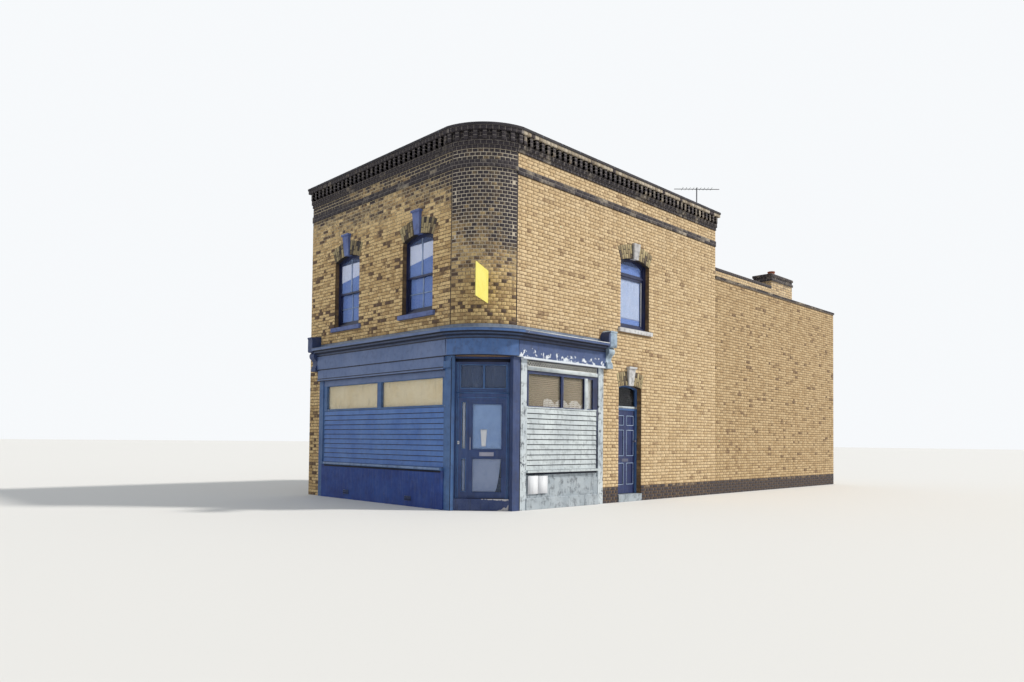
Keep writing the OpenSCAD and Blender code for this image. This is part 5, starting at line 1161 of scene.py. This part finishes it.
# Strips: side, limits along, out and up of each, finish, slot and chamfer
# Most strips are painted light. The black ones are painted shade under the front and flank sills, over the lattice and
# under the flank rail, under the fascia on the corner door's frame, and in the seams beside the door posts; the pale
# strip on the front rail's top edge is a painted highlight; the navy strip at the end of the flank boards is painted
# shade
trims = {
    "riserShade": ("front", [(-5.58, -1.12, 0.0605, 0.0630, 0.745, 0.787)], "seamBlack", "render", 0.001),
    "railHighlight": ("front", [(-5.58, -1.12, 0.0952, 0.0972, 0.800, 0.842)], "railLight", "blue_joinery", 0.001),
    "latticeShadow": ("flank", [(1.262, 3.503, 0.0122, 0.0135, 3.050, 3.068),
                    (1.262, 3.503, 0.0202, 0.0215, 2.838, 2.850)], "seamBlack", "blue_joinery", 0.0005),
    "soffitShadow": ("corner", [(-0.555, 0.555, -0.7172, -0.7155, 2.990, 3.056)], "seamBlack", "blue_joinery", 0.0005),
    "flankRiserShade": ("flank", [(1.235, 3.545, 0.0052, 0.0080, 0.708, 0.753)], "seamBlack", "render", 0.001),
    "boardEndShade": ("flank", [(3.505, 3.547, 0.012, 0.027, 0.803, 2.112)], "windowBlue", "blue_joinery", 0.002),
    "frontPostSeam": ("front", [(-0.852, -0.832, 0.0385, 0.0420, 0.002, 3.06)], "seamBlack", "blue_joinery", 0.001),
    "flankPostSeam": ("flank", [(1.030, 1.052, 0.0385, 0.0420, 0.002, 3.06)], "seamBlack", "blue_joinery", 0.001),
    "sideTransomEdge": ("flank", [(4.349, 5.251, -0.1315, -0.124, 2.205, 2.253)], "paleRail", "blue_joinery", 0.003),
}


def dressStreets():
    # Air bricks, the bare double plate, painted shade in the air bricks' holes, in the open joints at the bow's ends,
    # in seams and along edges, painted highlights, and door mouldings
    cells, dark = [], []
    for a in (-4.595, -2.200):
        dark.append((a - 0.10, a + 0.10, 0.0605, 0.063, 0.125, 0.205))
        cells += [(a - 0.115, a + 0.115, 0.060, 0.070, z, z + 0.012) for z in (0.113, 0.159, 0.205)]
        cells += [(a + d - 0.005, a + d + 0.005, 0.060, 0.069, 0.120, 0.210) for d in np.linspace(-0.11, 0.11, 9)]
    lay("airBricks", "front", cells, "doorBlue", "render", chamfer=0.001)
    # Painted shade: black panels behind the air bricks' bars for the dark holes
    lay("airBrickShadeHoles", "front", dark, "copingBlack", "render", chamfer=0.0005)
    lay("barePlates", "flank", [(1.265, 1.555, 0.052, 0.062, 0.318, 0.690), (1.560, 1.852, 0.052, 0.060, 0.322, 0.684)],
        "whitePaper", "render")
    # Painted shade: a black sheet behind the lattice for the dark void behind the ventilator
    lay("latticeShadeBacking", "flank", [(1.256, 3.509, -0.0045, -0.0015, 2.936, 3.062)], "copingBlack", chamfer=0.0005)
    for side, a in (("front", -0.962), ("flank", 0.925)):
        # Painted shade in the open joints at the bow's ends: one thin dark face across the cornice, and a black strip
        # between the bricks
        face = [(a, 0.06, 3.103), (a, 0.102, 3.103), (a, 0.114, 3.446), (a, 0.102, 3.43)]
        stand(side + "EntablatureShadeJoint", side, face, [[0, 1, 2, 3]], "seamBlack")
        lay(side + "BrickShadeJoint", side, [(a + 0.008, a + 0.026, 0.0005, 0.0055, 3.74, 7.265)],
            "copingBlack", "stock_brick", chamfer=0.001)
    for name, (side, cells, made, slotName, chamfer) in trims.items():
        lay(name, side, cells, made, slotName, chamfer=chamfer)
    # Panel beads in a paler blue: a painted highlight of the lit mouldings on the side door
    panels = [(y - 0.140, y + 0.140, 0.182 + low, 0.182 + high) for y in (4.80 - 0.196, 4.80 + 0.196)
              for low, high in ((0.205, 0.723), (0.886, 1.509), (1.613, 1.851))]
    beads = [bead(*panel, -0.1465, 0.0, 0.014, 0.006) for panel in panels]
    stand("sidePanelBeads", "flank", *joined(beads), "sideBead", "dark_joinery", "side_door")
    # Painted highlight: a pale lead strip on the flank cornice's lip where the sun catches it
    lay("flankLeadHighlight", "flank", [(0.93, 3.65, 0.262, 0.2765, 3.612, 3.632)], "leadPale", "lead", chamfer=0.003)


dressRoofs()
dressRear()
dressUpperWindows()
dressShopWindows()
dressCornerDoor()
dressStreets()
print("windows and doors dressed")


def makeFloor():
    mesh = bpy.data.meshes.new("paleFloor")
    far, level = light["floorHalf"], light["floorLevel"]
    corners = [(-far, -far, level), (far, -far, level), (far, far, level), (-far, far, level)]
    mesh.from_pydata(corners, [], [(0, 1, 2, 3)])
    made, shader, _ = material("paleFloor")
    shader["Base Color"].default_value = light["floorColour"]
    shader["Roughness"].default_value = light["floorRough"]
    mesh.materials.append(made)
    newObject("paleFloor", mesh)


makeFloor()

# Finishes of the built nodes
dressed = {
    "frontCore": "front_wall", "bowCore": "corner_wall", "flankCore": "flank_wall", "rearCore": "rear_wall",
    "wingCore": "wing_flank_wall", "yardCore": "wing_yard_wall", "endCore": "wing_end_wall", "partyCore": "party_wall",
    "sootyCore": "front_cornice corner_cornice flank_cornice wing_coping wing_stack", "archCore": "brick_arches",
    "copingBlack": "parapet_coping", "stonePaint": "keystones window_sills", "slate": "main_roof wing_roof",
    "terracotta": "chimney_pot", "blackPipe": "vent_cowl gutters", "dullAluminium": "aerial",
    "windowBlue": "street_windows", "palePeeling": "rear_windows", "windowGlass": "window_glass",
    "joineryBlue": "back_door side_door_frame", "sawnTimber": "shop_beams", "fasciaBlue": "front_fascia",
    "cornerFascia": "corner_fascia", "fasciaPeeling": "flank_fascia", "leadSheet": "shop_flashing",
    "consolePaint": "console_brackets", "pilasterPaint": "shop_pilasters", "postPaint": "corner_posts",
    "frontFrame": "front_shop_frame", "flankFrame": "flank_shop_frame", "shopGlass": "shop_glass",
    "boardPaint": "shop_boards", "riserPaint": "stall_risers", "creamIron": "lattice_ventilator",
    "doorBlue": "corner_door_frame corner_door_leaf", "doorGlass": "corner_lights corner_door_panes",
    "stepStone": "corner_step", "steel": "corner_door_fittings door_hinges", "palePlinth": "side_step",
    "sideDoorBlue": "side_door_leaf", "brass": "side_door_fittings", "yellowBoard": "projecting_sign",
    "boards": "ground_floor first_floor wing_floors",
}
for made, nodeNames in dressed.items():
    for nodeName in nodeNames.split():
        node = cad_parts[nodeName]
        node.data.materials.clear()
        node.data.materials.append(finish[made])
print("nodes dressed")
